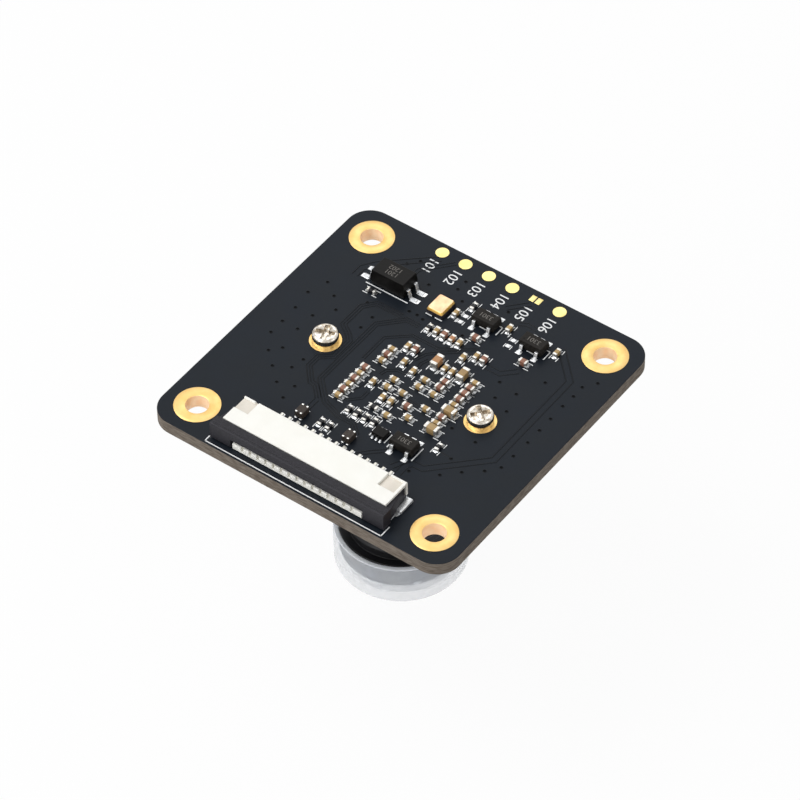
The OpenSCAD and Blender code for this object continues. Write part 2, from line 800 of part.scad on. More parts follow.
module lens_barrel() {
    head_r = head_d / 2;
    thread = [for (i = [0:2 * thread_turns])
        [barrel_d / 2 - (i % 2) * thread_depth, thread_z + i * thread_pitch / 2]];
    color("#1b1b1e") at_lens() difference() {
        rotate_extrude() polygon([
            [head_r - 0.45, lens_front_z], [head_r - 0.15, lens_front_z],
            [head_r, lens_front_z + 0.15], [head_r, head_top_z - 0.15],
            [head_r - 0.15, head_top_z], [barrel_d / 2, head_top_z],
            each thread, [barrel_d / 2, barrel_top_z - 0.4], [barrel_d / 2 - 0.4, barrel_top_z],
            [glass_r - seat_ring + 0.4, barrel_top_z], [glass_r - seat_ring, barrel_top_z - 0.6],
            [glass_r - seat_ring, barrel_top_z - rear_ledge],
            [glass_r + glass_fit, barrel_top_z - rear_ledge],
            [glass_r + glass_fit, ring_front_z - 0.1]
        ]);
        for (turn = [0, 180]) rotate([0, 0, notch_angle + turn])
            translate([head_r - 0.5, -0.4, lens_front_z - 1]) cube([1, 0.8, 1.5]);
    }
}

module retaining_ring() {
    color("#26262a") at_lens() translate([0, 0, ring_front_z]) difference() {
        ring(glass_d, glass_d - 2 * seat_ring, ring_len);
        translate([0, 0, -eps]) block(glass_d - 0.4, 0.8, 0.4);
    }
}

// Glass with a flat rim: domed at the front and hollow at the back
module front_element() {
    dome = 0.85;
    hollow = 0.9;
    color("#9fb6c4") at_lens() rotate_extrude() difference() {
        union() {
            translate([0, front_glass_z]) square([glass_r, glass_len]);
            cap_arc(front_glass_z, dome);
        }
        translate([0, 2 * (front_glass_z + glass_len)]) mirror([0, 1])
            cap_arc(front_glass_z + glass_len, -hollow);
    }
}

module rear_element() {
    color("#9fb6c4") at_lens() rotate_extrude() {
        translate([0, rear_glass_z]) square([glass_r, glass_len]);
        translate([0, 2 * (rear_glass_z + glass_len)]) mirror([0, 1])
            cap_arc(rear_glass_z + glass_len, 0.7);
    }
}

// Segment of a circle below the line z, of height rise, as wide as the clear glass.
// With a negative rise it stands above the line before it is mirrored.
module cap_arc(z, rise) {
    half = glass_r - seat_ring - 0.1;
    h = abs(rise);
    arc_r = (half * half + h * h) / (2 * h);
    intersection() {
        translate([0, z + sign(rise) * (arc_r - h)]) circle(arc_r, $fn = 128);
        translate([0, rise > 0 ? z - h - eps : z - eps]) square([half, h + 2 * eps]);
    }
}

// Tube that keeps the elements apart, with the aperture in its middle
module spacer_sleeve() {
    color("#1b1b1e") at_lens() rotate_extrude() {
        translate([glass_r - seat_ring, sleeve_z]) square([seat_ring, rear_glass_z - sleeve_z]);
        translate([1.6, (sleeve_z + rear_glass_z) / 2]) square([glass_r - seat_ring - 1.6 + eps, 0.4]);
    }
}

// ---- Lens cap ----

module lens_cap() {
    inner_r = head_d / 2 + slide_fit;
    outer_r = inner_r + cap_wall;
    color("#eef0f2", 0.6) at_lens() rotate_extrude() difference() {
        union() {
            translate([0, cap_edge_r]) square([outer_r, cap_top_z - cap_edge_r]);
            square([outer_r - cap_edge_r, cap_edge_r + eps]);
            translate([outer_r - cap_edge_r, cap_edge_r]) circle(cap_edge_r);
        }
        translate([0, lens_front_z]) square([inner_r, cap_grip + 1]);
        translate([0, cap_floor]) square([inner_r - cap_step, cap_space + 1]);
    }
}

board();
hole_linings();
test_pads();
screw_pads();
solder_pads();
holder_screws();
connector_housing();
connector_latch();
connector_contacts();
connector_brackets();
optocoupler_body();
optocoupler_leads();
oscillator_base();
oscillator_lid();
regulator_bodies();
regulator_leads();
logic_chip_body();
logic_chip_leads();
choke_bodies();
choke_terminals();
tan_capacitors();
brown_capacitors();
large_capacitors();
capacitor_ends();
resistor_bodies();
resistor_ends();
lens_holder();
image_sensor();
sensor_window();
filter_glass();
lens_barrel();
retaining_ring();
front_element();
spacer_sleeve();
rear_element();
lens_cap();
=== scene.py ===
"""Board camera module: circuit board, ribbon cable connector and capped screw-in lens.

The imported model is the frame. Each class below builds and dresses one sub-assembly on it, in the
frame's own axes: +Z up from the lens cap to the component side of the board. The scene is in
metres, and the sizes that the classes hold are in millimetres.
"""

import logging
import math
from dataclasses import dataclass
from enum import Enum
from functools import cache
from typing import Callable, Iterable, Sequence

import bmesh
import bpy
from bmesh.types import BMEdge, BMesh, BMVert
from bpy.types import ID, Curve, Material, Mesh, Node, NodeSocket, NodeTree, Object
from mathutils import Matrix, Vector


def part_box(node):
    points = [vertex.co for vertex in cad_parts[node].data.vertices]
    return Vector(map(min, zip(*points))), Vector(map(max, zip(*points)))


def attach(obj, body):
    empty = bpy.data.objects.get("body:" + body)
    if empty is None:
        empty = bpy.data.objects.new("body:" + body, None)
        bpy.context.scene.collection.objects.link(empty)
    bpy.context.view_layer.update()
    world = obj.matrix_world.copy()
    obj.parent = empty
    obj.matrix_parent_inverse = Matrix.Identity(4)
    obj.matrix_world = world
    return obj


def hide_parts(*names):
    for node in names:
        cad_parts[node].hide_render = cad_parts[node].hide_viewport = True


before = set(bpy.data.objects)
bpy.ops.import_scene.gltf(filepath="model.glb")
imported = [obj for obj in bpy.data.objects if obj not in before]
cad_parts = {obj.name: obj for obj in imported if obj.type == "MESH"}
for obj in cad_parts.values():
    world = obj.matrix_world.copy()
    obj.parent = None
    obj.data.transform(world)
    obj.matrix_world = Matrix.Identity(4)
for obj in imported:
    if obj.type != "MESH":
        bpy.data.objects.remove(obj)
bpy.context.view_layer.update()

LOG = logging.getLogger("camera_module")
MM = 0.001  # One millimetre in metres.
SAME_SPOT = 0.001  # Corners closer than this many millimetres are one corner.
SAME_PLANE = 1.0  # Faces that meet at less than this angle in degrees are one face.
NOISE_RANGE = (0.35, 0.65)  # What most of a noise pattern lies between.
STROKE_ROUNDING = 0.45  # Radius of a printed stroke's ends, as a share of its width.
DIGIT_SCALE = 1.4  # Size of the font for digits of height 1.

Point = tuple[float, float]
Colour = tuple[float, float, float]


class Body(Enum):
    """The bodies of the model that pieces ride on."""

    MODULE = "module"
    LATCH = "latch"
    LENS = "lens"
    CAP = "cap"


# ---- Shading ----


def linear(code: str) -> Colour:
    """Turns a colour code into linear light.

    Args:
        code: Six hexadecimal digits, two each for red, green and blue.

    Returns:
        The red, green and blue shares in linear light.
    """
    shares = (int(code[i : i + 2], 16) / 255 for i in (0, 2, 4))
    return tuple(s / 12.92 if s <= 0.04045 else ((s + 0.055) / 1.055) ** 2.4 for s in shares)


class Wiring:
    """A shader node tree with short calls that add and join its nodes."""

    def __init__(self, tree: NodeTree) -> None:
        """Starts wiring a tree.

        Args:
            tree: The node tree to add to.
        """
        self.tree = tree

    def feed(self, socket: NodeSocket, value: object) -> None:
        """Joins an output to a socket, or sets the socket's own value.

        Args:
            socket: The input to feed.
            value: An output socket, a number, a vector or a colour code.
        """
        if isinstance(value, NodeSocket):
            self.tree.links.new(value, socket)
        elif isinstance(value, str):
            socket.default_value = (*linear(value), 1.0)
        else:
            socket.default_value = value

    def node(self, kind: str, settings: dict[str, object] | None = None, **inputs: object) -> Node:
        """Adds a node.

        Args:
            kind: The node's type, without its ShaderNode prefix.
            settings: Properties to set on the node.
            inputs: What feeds each input, by the input's name with _ for a space.

        Returns:
            The new node.
        """
        made = self.tree.nodes.new("ShaderNode" + kind)
        for name, value in (settings or {}).items():
            setattr(made, name, value)
        for name, value in inputs.items():
            self.feed(made.inputs[name.replace("_", " ")], value)
        return made

    def math(self, operation: str, first: object, second: object = 0.0) -> NodeSocket:
        """Adds a calculation with two values.

        Args:
            operation: The name of the operation, such as MULTIPLY.
            first: The first value or the output that gives it.
            second: The second value or the output that gives it.

        Returns:
            The output with the result.
        """
        made = self.tree.nodes.new("ShaderNodeMath")
        made.operation = operation
        self.feed(made.inputs[0], first)
        self.feed(made.inputs[1], second)
        return made.outputs[0]

    def mix(self, share: object, first: object, second: object) -> NodeSocket:
        """Mixes two colours.

        Args:
            share: How much of the second colour shows, from 0 to 1.
            first: The first colour.
            second: The second colour.

        Returns:
            The output with the mixed colour.
        """
        made = self.node("Mix", {"data_type": "RGBA"})
        for index, value in ((0, share), (6, first), (7, second)):
            self.feed(made.inputs[index], value)
        return made.outputs[2]

    def spread(self, value: NodeSocket, low: float, high: float, start: object, end: object) -> NodeSocket:
        """Maps a range of values to another, clamped at its ends.

        Args:
            value: The output to map.
            low: The value that gives start.
            high: The value that gives end.
            start: What low becomes.
            end: What high becomes.

        Returns:
            The output with the mapped value.
        """
        mapped = self.node("MapRange", None, Value=value, From_Min=low, From_Max=high,
                           To_Min=start, To_Max=end)
        return mapped.outputs[0]

    def noise(self, size: object, detail: float, stretch: Sequence[float] = (1, 1, 1)) -> NodeSocket:
        """Adds a noise pattern on the object's own coordinates.

        Args:
            size: Size of the pattern's patches in metres, or the output that gives it.
            detail: How many finer layers the pattern has.
            stretch: How much finer the pattern is along X, Y and Z.

        Returns:
            The output with the noise.
        """
        place = self.node("TexCoord").outputs["Object"]
        if tuple(stretch) != (1, 1, 1):
            place = self.node("Mapping", None, Vector=place, Scale=stretch).outputs[0]
        rate = self.math("DIVIDE", 1.0, size)
        return self.node("TexNoise", None, Vector=place, Scale=rate, Detail=detail).outputs["Fac"]


def new_group(name: str, inputs: dict[str, str], outputs: dict[str, str]) -> tuple[NodeTree, Node, Node]:
    """Starts a shader node group.

    Args:
        name: The group's name.
        inputs: The type of each input socket, by its name.
        outputs: The type of each output socket, by its name.

    Returns:
        The group's tree, its input node and its output node.
    """
    tree = bpy.data.node_groups.new(name, "ShaderNodeTree")
    for way, sockets in (("INPUT", inputs), ("OUTPUT", outputs)):
        for label, kind in sockets.items():
            tree.interface.new_socket(label, in_out=way, socket_type="NodeSocket" + kind)
    return tree, tree.nodes.new("NodeGroupInput"), tree.nodes.new("NodeGroupOutput")


@cache
def surface_group() -> NodeTree:
    """Builds the group that every solid finish uses.

    Returns:
        A group that gives patches of two close colours, an uneven roughness and a fine relief.
    """
    tree, given, result = new_group(
        "surface",
        {"Colour": "Color", "Patch Colour": "Color", "Patch Size": "Float", "Grain Size": "Float",
         "Smooth": "Float", "Rough": "Float", "Depth": "Float"},
        {"Colour": "Color", "Roughness": "Float", "Normal": "Vector"},
    )
    wiring = Wiring(tree)
    patches = wiring.noise(given.outputs["Patch Size"], 3.0)
    grain = wiring.noise(given.outputs["Grain Size"], 4.0)
    share = wiring.spread(patches, *NOISE_RANGE, 0.0, 1.0)
    both = wiring.math("MULTIPLY", wiring.math("ADD", patches, grain), 0.5)
    relief = wiring.node("Bump", None, Strength=1.0, Distance=given.outputs["Depth"], Height=grain)
    wiring.feed(result.inputs["Colour"],
                wiring.mix(share, given.outputs["Colour"], given.outputs["Patch Colour"]))
    wiring.feed(result.inputs["Roughness"],
                wiring.spread(both, *NOISE_RANGE, given.outputs["Smooth"], given.outputs["Rough"]))
    wiring.feed(result.inputs["Normal"], relief.outputs[0])
    return tree


@cache
def tone_group() -> NodeTree:
    """Builds the group that gives each part of a row its own shade.

    Returns:
        A group that turns the mesh's tone attribute into a colour between three.
    """
    tree, given, result = new_group("part_tone", {"Low": "Color", "Middle": "Color", "High": "Color"},
                                    {"Colour": "Color"})
    wiring = Wiring(tree)
    tone = wiring.node("Attribute", {"attribute_name": "tone"}).outputs["Fac"]
    lower = wiring.spread(tone, 0.0, 0.5, 0.0, 1.0)
    upper = wiring.spread(tone, 0.5, 1.0, 0.0, 1.0)
    warm = wiring.mix(lower, given.outputs["Low"], given.outputs["Middle"])
    wiring.feed(result.inputs["Colour"], wiring.mix(upper, warm, given.outputs["High"]))
    return tree


@dataclass(frozen=True)
class Finish:
    """A solid finish: close patches of two colours with a fine grain.

    Attributes:
        name: The material's name.
        slot: The record's material slot that the finish belongs to; not used.
        colour: Colour code of the surface.
        patch: Colour code that the surface drifts to in patches.
        smooth: Lowest roughness.
        rough: Highest roughness.
        grain: Size of the grain in millimetres.
        depth: Depth of the grain in millimetres.
        patch_size: Size of the patches in millimetres.
        metallic: 1 for bare metal.
        specular: Strength of the reflection on a surface that isn't metal.
    """

    name: str
    slot: str
    colour: str
    patch: str
    smooth: float = 0.4
    rough: float = 0.55
    grain: float = 0.08
    depth: float = 0.004
    patch_size: float = 1.5
    metallic: float = 0.0
    specular: float = 0.5

    @cache
    def material(self) -> Material:
        """Builds the finish's material.

        Returns:
            The material, built once.
        """
        material = bpy.data.materials.new(self.name)
        material.use_nodes = True
        wiring = Wiring(material.node_tree)
        shader = material.node_tree.nodes["Principled BSDF"]
        shader.inputs["Metallic"].default_value = self.metallic
        shader.inputs["Specular IOR Level"].default_value = self.specular
        surface = wiring.node("Group", {"node_tree": surface_group()}, Patch_Size=self.patch_size * MM,
                              Grain_Size=self.grain * MM, Smooth=self.smooth, Rough=self.rough,
                              Depth=self.depth * MM)
        self.tint(wiring, surface)
        wiring.feed(shader.inputs["Base Color"], surface.outputs["Colour"])
        wiring.feed(shader.inputs["Roughness"], surface.outputs["Roughness"])
        wiring.feed(shader.inputs["Normal"], surface.outputs["Normal"])
        self.extend(wiring, shader, surface)
        return material

    def tint(self, wiring: Wiring, surface: Node) -> None:
        """Sets the two colours of the surface.

        Args:
            wiring: The material's node tree.
            surface: The surface group's node.
        """
        wiring.feed(surface.inputs["Colour"], self.colour)
        wiring.feed(surface.inputs["Patch Colour"], self.patch)

    def extend(self, wiring: Wiring, shader: Node, surface: Node) -> None:
        """Adds what a special finish has besides. A plain one has nothing."""


@dataclass(frozen=True)
class MaskedBoard(Finish):
    """Solder mask on the board's faces, with the bare laminate at its edges.

    Attributes:
        laminate: Colour code of the cut edge.
        fibre: Colour code of the glass layers in the cut edge.
        layer: Thickness of a layer in millimetres.
        layer_stretch: How many times longer than thick the patches of a layer are.
        cut_roughness: How much rougher the cut edge is than the mask.
    """

    laminate: str = "7b7268"
    fibre: str = "60574e"
    layer: float = 0.12
    layer_stretch: float = 8.0
    cut_roughness: float = 0.3

    def extend(self, wiring: Wiring, shader: Node, surface: Node) -> None:
        """Shows the laminate where the surface stands upright.

        Args:
            wiring: The material's node tree.
            shader: The material's shader.
            surface: The surface group's node.
        """
        normal = wiring.node("TexCoord").outputs["Normal"]
        upright = wiring.node("SeparateXYZ", None, Vector=normal).outputs["Z"]
        cut = wiring.spread(wiring.math("ABSOLUTE", upright), 0.35, 0.6, 1.0, 0.0)
        layers = wiring.noise(self.layer * self.layer_stretch * MM, 4.0, (1, 1, self.layer_stretch))
        edge = wiring.mix(wiring.spread(layers, 0.4, 0.6, 0.0, 1.0), self.laminate, self.fibre)
        wiring.feed(shader.inputs["Base Color"], wiring.mix(cut, surface.outputs["Colour"], edge))
        rougher = wiring.math("MULTIPLY", cut, self.cut_roughness)
        wiring.feed(shader.inputs["Roughness"],
                    wiring.math("ADD", surface.outputs["Roughness"], rougher))


@dataclass(frozen=True)
class TonedCeramic(Finish):
    """Ceramic whose parts each have a shade of their own.

    Attributes:
        middle: Colour code of a part with a middle tone.
        high: Colour code of a part with a high tone.
        drift: Share of the patch colour in the patches.
    """

    middle: str = "9a7a48"
    high: str = "8a5a3a"
    drift: float = 0.3

    def tint(self, wiring: Wiring, surface: Node) -> None:
        """Takes the colour from each part's tone, and lets it drift to the patch colour.

        Args:
            wiring: The material's node tree.
            surface: The surface group's node.
        """
        tone = wiring.node("Group", {"node_tree": tone_group()}, Low=self.colour, Middle=self.middle,
                           High=self.high)
        wiring.feed(surface.inputs["Colour"], tone.outputs["Colour"])
        wiring.feed(surface.inputs["Patch Colour"],
                    wiring.mix(self.drift, tone.outputs["Colour"], self.patch))


@dataclass(frozen=True)
class SoftPlastic(Finish):
    """Translucent plastic that scatters light.

    Attributes:
        alpha: Share of the surface that hides what lies behind.
        rim_alpha: The same share on the rim, where the wall is seen edge-on.
        rim_height: Height that the rim's share starts to show at, in millimetres.
        rim_blend: Height that it takes to do so, in millimetres.
        face_alpha: The same share near the closed face.
        face_height: Height that the closed face's share starts to fade at, in millimetres.
        face_blend: Height that it takes to do so, in millimetres.
        scatter: Weight of the light scattered inside.
        reach: How far light travels inside, in millimetres.
    """

    alpha: float = 1.0
    rim_alpha: float = 1.0
    rim_height: float = 0.0
    rim_blend: float = 0.12
    face_alpha: float = 1.0
    face_height: float = 0.0
    face_blend: float = 0.3
    scatter: float = 0.3
    reach: float = 1.0

    def extend(self, wiring: Wiring, shader: Node, surface: Node) -> None:
        """Sets the scattering and the share that hides what lies behind.

        Args:
            wiring: The material's node tree.
            shader: The material's shader.
            surface: The surface group's node.
        """
        if self.alpha < 1:
            place = wiring.node("TexCoord").outputs["Object"]
            height = wiring.node("SeparateXYZ", None, Vector=place).outputs["Z"]
            face, rim = self.face_height * MM, self.rim_height * MM
            wall = wiring.spread(height, face, face + self.face_blend * MM, self.face_alpha, self.alpha)
            wiring.feed(shader.inputs["Alpha"],
                        wiring.spread(height, rim, rim + self.rim_blend * MM, wall, self.rim_alpha))
        shader.inputs["Subsurface Weight"].default_value = self.scatter
        shader.inputs["Subsurface Radius"].default_value = (1.0, 1.0, 1.0)
        shader.inputs["Subsurface Scale"].default_value = self.reach * MM


@dataclass(frozen=True)
class ClearGlass(Finish):
    """Polished glass with a thin tinted coating.

    Attributes:
        ior: Refractive index.
    """

    ior: float = 1.52

    def extend(self, wiring: Wiring, shader: Node, surface: Node) -> None:
        """Lets light through and bends it.

        Args:
            wiring: The material's node tree.
            shader: The material's shader.
            surface: The surface group's node.
        """
        shader.inputs["Transmission Weight"].default_value = 1.0
        shader.inputs["IOR"].default_value = self.ior


MASK = MaskedBoard("satin_solder_mask", "solder_mask", "12181f", "151b23", 0.4, 0.52, 0.05, 0.0015, 4.0,
                   specular=0.16)
TRACE = Finish("masked_trace", "solder_mask", "0a0e13", "0d1217", 0.36, 0.46, 0.05, 0.001, 4.0,
               specular=0.14)
TENTED = Finish("tented_via", "solder_mask", "040506", "060708", 0.5, 0.6, 0.05, 0.001, specular=0.05)
GOLD = Finish("plated_gold", "gold_plating", "eecb88", "e9c27a", 0.36, 0.48, 0.12, 0.002, 1.2, metallic=1.0)
LAND_GOLD = Finish("pale_gold", "gold_plating", "eedd98", "ead68e", 0.36, 0.48, 0.12, 0.002, 1.2,
                   metallic=1.0)
# Hole walls: the rings' plating made lighter and far less metallic, as painted light in the holes.
LIT_HOLE_WALL = Finish("plated_hole_wall_painted_light", "gold_plating", "ffe4c0", "fdd6a8", 0.35, 0.5, 0.1, 0.004, 0.8,
                   metallic=0.15)
# Solder: light grey with near-black patches; the dark patches are painted reflections of the dark
# surroundings.
SOLDER = Finish("solder_painted_reflections", "solder", "ccced0", "3a3c40", 0.12, 0.28, 0.1, 0.006, 0.2, metallic=1.0)
WET_SOLDER = Finish("smooth_solder", "solder", "f4f5f6", "d8dadc", 0.2, 0.34, 0.1, 0.004, 0.5,
                    metallic=0.6)
TIN = Finish("tinned_lead", "tin_plate", "f2f3f4", "c4c7ca", 0.2, 0.34, 0.08, 0.004, 0.4, metallic=0.75)
TIN_END = Finish("tinned_end", "tin_ends", "efede8", "cdcac2", 0.22, 0.38, 0.06, 0.004, 0.25, metallic=0.85)
CONTACT = Finish("tinned_contact", "tinned_contact", "f2f0e9", "e0ddd3", 0.25, 0.38, 0.08, 0.002, 0.6,
                 metallic=0.6)
# Nickel: the darker patches are painted reflections of dark surroundings on the screw heads.
NICKEL = Finish("nickel_painted_reflections", "screw_nickel", "ece6dc", "a89e90", 0.1, 0.2, 0.15, 0.004, 0.4,
                metallic=1.0)
CHIP_INK = Finish("faint_ink", "black_epoxy", "6b6762", "575450", 0.5, 0.6, 0.04, 0.002, 0.2)
INK = Finish("white_ink", "solder_mask", "f2f3f3", "e6e8e9", 0.5, 0.65, 0.04, 0.004, 0.3)
WHITE_NYLON = SoftPlastic("white_nylon", "white_nylon", "f8f7f1", "f5f4ed", 0.38, 0.5, 0.12, 0.003, 2.5,
                          scatter=0.25, reach=0.3)
# Recess floors: rougher nylon, and a darker colour that is painted shade in the recesses.
SHADED_MATT_NYLON = SoftPlastic("matt_nylon_painted_shade", "white_nylon", "e6dfd4", "ddd6ca", 0.5, 0.65, 0.1, 0.006, 1.2,
                         scatter=0.25, reach=0.3)
BLACK_NYLON = Finish("black_nylon", "black_nylon", "1b1a1f", "2c2b31", 0.42, 0.56, 0.06, 0.008, 0.14,
                     specular=0.25)
EPOXY = Finish("chip_epoxy", "black_epoxy", "181614", "221f1c", 0.5, 0.68, 0.06, 0.008, 0.3,
               specular=0.17)
EPOXY_SATIN = Finish("coupler_epoxy", "black_epoxy", "0c0b0a", "131211", 0.34, 0.48, 0.08, 0.004, 0.4,
                     specular=0.13)
DARK_CERAMIC = Finish("dark_ceramic", "dark_ceramic", "1d1b21", "27242b", 0.45, 0.6, 0.05, 0.004, 0.5,
                      specular=0.25)
LID_GOLD = Finish("lid_gold", "gold_lid", "e2c9a2", "e0b690", 0.3, 0.45, 0.1, 0.003, 0.8, metallic=1.0)
FERRITE = Finish("choke_ferrite", "ferrite", "3f3833", "332c28", 0.5, 0.65, 0.05, 0.006, 0.3,
                 specular=0.3)
# The cover's flanks: the same metal as its top, painted darker and more orange as shade.
SHADED_LID_SIDE = Finish("lid_flank_painted_shade", "gold_lid", "d9b264", "cfa352", 0.28, 0.42, 0.1, 0.003, 0.8, metallic=0.9)
COIL_DOT = Finish("silvered_corner", "tin_ends", "f4f4f1", "e6e6e2", 0.22, 0.35, 0.05, 0.004, 0.3,
                  metallic=0.9)
TAN = TonedCeramic("tan_ceramic", "tan_ceramic", "b19360", "c7ab7a", 0.35, 0.5, 0.05, 0.003, 0.3,
                   middle="a08350", high="b0764e")
BROWN = TonedCeramic("brown_ceramic", "brown_ceramic", "8d5f4b", "a57a64", 0.35, 0.5, 0.05, 0.003, 0.3,
                     middle="7d5140", high="9a684c")
OLIVE = TonedCeramic("olive_ceramic", "olive_ceramic", "a88d60", "bca274", 0.35, 0.5, 0.05, 0.003, 0.3,
                     middle="9a7c50", high="b07c50")
RESISTOR = Finish("resistor_coat", "resistor_coat", "18181b", "222226", 0.24, 0.36, 0.06, 0.002, 0.4,
                  specular=0.3)
HOLDER = Finish("holder_plastic", "holder_plastic", "131315", "19191c", 0.42, 0.56, 0.1, 0.006, 2.0)
PACKAGE = Finish("sensor_package", "sensor_package", "3c3f47", "464a52", 0.4, 0.55, 0.08, 0.004, 1.5)
WINDOW = ClearGlass("window_glass", "clear_glass", "eef4f6", "e8f0f3", 0.02, 0.04, 1.0, 0.0, 2.0)
FILTER = ClearGlass("filter_glass", "filter_glass", "e6b6be", "dfacb6", 0.02, 0.04, 1.0, 0.0, 2.0)
LENS_GLASS = ClearGlass("coated_glass", "coated_glass", "dfeee8", "d8e6f0", 0.01, 0.03, 1.0, 0.0, 3.0,
                        ior=1.7)
ANODISED = Finish("black_anodising", "anodised_barrel", "0d0d0f", "131316", 0.34, 0.46, 0.06, 0.002, 1.5,
                  specular=0.3)
CAP_PLASTIC = SoftPlastic("soft_cap_plastic", "cap_plastic", "f0f5fd", "e8eefa", 0.3, 0.42, 0.3, 0.004, 3.0,
                          alpha=0.37, rim_alpha=1.0, rim_height=5.42, face_alpha=0.24, face_height=1.95,
                          scatter=0.6, reach=1.6)


# ---- Mesh work ----


@dataclass(frozen=True)
class Box:
    """An upright box in the frame's axes.

    Attributes:
        low: Lowest corner.
        high: Highest corner.
    """

    low: Vector
    high: Vector

    @property
    def centre(self) -> Vector:
        """Middle of the box."""
        return (self.low + self.high) / 2

    @property
    def size(self) -> Vector:
        """Lengths of the box along X, Y and Z."""
        return self.high - self.low

    def holds(self, point: Vector) -> bool:
        """Tells whether a point lies inside the box, seen from above."""
        return all(self.low[i] <= point[i] <= self.high[i] for i in (0, 1))


def node_box(node: str) -> Box:
    """Box round a CAD node at rest."""
    return Box(*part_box(node))


def board_middle() -> Vector:
    """Middle of the board's upper face."""
    board = node_box("board")
    return Vector((*board.centre.xy, board.high.z))


def merged_copy(node: str) -> BMesh:
    """Copies a CAD node's mesh with its loose triangles joined into whole faces.

    Args:
        node: Name of the CAD node.

    Returns:
        The copy, for the caller to shape and free.
    """
    bm = bmesh.new()
    bm.from_mesh(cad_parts[node].data)
    bmesh.ops.remove_doubles(bm, verts=bm.verts, dist=SAME_SPOT * MM)
    bmesh.ops.dissolve_limit(bm, angle_limit=math.radians(SAME_PLANE), verts=bm.verts, edges=bm.edges)
    return bm


def bevel(bm: BMesh, edges: list[BMEdge], radius: float, segments: int = 2, clamp: bool = True) -> None:
    """Rounds some edges.

    Args:
        bm: The mesh to round.
        edges: The edges.
        radius: Radius of the rounding in millimetres.
        segments: Number of steps in the rounding.
        clamp: Whether the rounding narrows where it would cross another.
    """
    bmesh.ops.bevel(bm, geom=edges, offset=radius * MM, segments=segments, affect="EDGES",
                    profile=0.5, clamp_overlap=clamp, material=-1)


def round_edges(bm: BMesh, radius: float, angle: float = 40.0) -> None:
    """Rounds every edge that is sharper than an angle.

    Args:
        bm: The mesh to round.
        radius: Radius of the rounding in millimetres.
        angle: Least angle between two faces, in degrees.
    """
    bevel(bm, [e for e in bm.edges if e.is_manifold and e.calc_face_angle() > math.radians(angle)], radius)


def loose_parts(node: str) -> list[Box]:
    """Finds the separate solids of a CAD node.

    Args:
        node: Name of the CAD node.

    Returns:
        The box round each solid, from left to right.
    """
    bm = merged_copy(node)
    found: list[Box] = []
    waiting = set(bm.verts)
    while waiting:
        reached = [waiting.pop()]
        for vert in reached:
            near = {e.other_vert(vert) for e in vert.link_edges} & waiting
            waiting -= near
            reached.extend(near)
        corners = [v.co for v in reached]
        low, high = (Vector([pick(c[i] for c in corners) for i in range(3)]) for pick in (min, max))
        found.append(Box(low, high))
    bm.free()
    return sorted(found, key=lambda box: (round(box.low.x, 6), round(box.low.y, 6)))


def add_cube(bm: BMesh, centre: Vector, size: Sequence[float], turn: float = 0.0) -> list[BMVert]:
    """Adds a block with sharp edges.

    Args:
        bm: The mesh to add to.
        centre: Middle of the block.
        size: Its lengths along X, Y and Z, before it is turned.
        turn: Turn about the upright axis, in radians.

    Returns:
        The corners of the block.
    """
    place = (Matrix.Translation(centre) @ Matrix.Rotation(turn, 4, "Z")
             @ Matrix.Diagonal((*size, 1)))
    return bmesh.ops.create_cube(bm, size=1, matrix=place)["verts"]


def edges_of(verts: Iterable[BMVert]) -> list[BMEdge]:
    """Lists the edges that meet at some corners, each once."""
    return list({edge for vert in verts for edge in vert.link_edges})


def upright_edges(verts: Iterable[BMVert]) -> list[BMEdge]:
    """Lists the upright edges of a block.

    Args:
        verts: The corners of the block.

    Returns:
        Its edges that rise more than half its height.
    """
    verts = list(verts)
    half = (max(v.co.z for v in verts) - min(v.co.z for v in verts)) / 2
    return [e for e in edges_of(verts) if abs(e.verts[0].co.z - e.verts[1].co.z) > half]


def add_block(bm: BMesh, box: Box, radius: float, tone: float = 0.0, swell: float = 0.0) -> None:
    """Adds a block with rounded edges.

    Args:
        bm: The mesh to add to.
        box: The space that the block fills.
        radius: Radius of its edges in millimetres.
        tone: Shade of the block, from 0 to 1.
        swell: How far the block stands out past the box on every side, in millimetres.
    """
    layer = bm.verts.layers.float.get("tone") or bm.verts.layers.float.new("tone")
    made = add_cube(bm, box.centre, box.size + Vector((2, 2, 2)) * swell * MM)
    for vert in made:
        vert[layer] = tone
    bevel(bm, edges_of(made), radius)


def add_stroke(bm: BMesh, start: Point, end: Point, width: float, base: float, height: float) -> None:
    """Adds a flat stroke with round ends.

    Args:
        bm: The mesh to add to.
        start: Where the middle of the stroke starts, in millimetres.
        end: Where it ends, in millimetres.
        width: Width of the stroke in millimetres.
        base: Height that the stroke lies at, in metres.
        height: Thickness of the stroke in millimetres.
    """
    run = Vector(end) - Vector(start)
    middle = (Vector(start) + Vector(end)) / 2 * MM
    made = add_cube(bm, Vector((*middle, base + height * MM / 2)),
                    ((run.length + width) * MM, width * MM, height * MM), math.atan2(run.y, run.x))
    bevel(bm, upright_edges(made), width * STROKE_ROUNDING, clamp=False)


def add_object(name: str, data: ID) -> Object:
    """Puts an object into the scene.

    Args:
        name: The object's name.
        data: Its mesh, text, curve, camera or lamp.

    Returns:
        The object.
    """
    made = bpy.data.objects.new(name, data)
    bpy.context.scene.collection.objects.link(made)
    return made


def mesh_from(curve: Curve) -> Mesh:
    """Turns a text or a curve into a mesh.

    Args:
        curve: The text or curve.

    Returns:
        Its mesh, where the text or curve lies.
    """
    holder = add_object(curve.name, curve)
    mesh = bpy.data.meshes.new_from_object(holder.evaluated_get(bpy.context.evaluated_depsgraph_get()))
    bpy.data.objects.remove(holder)
    return mesh


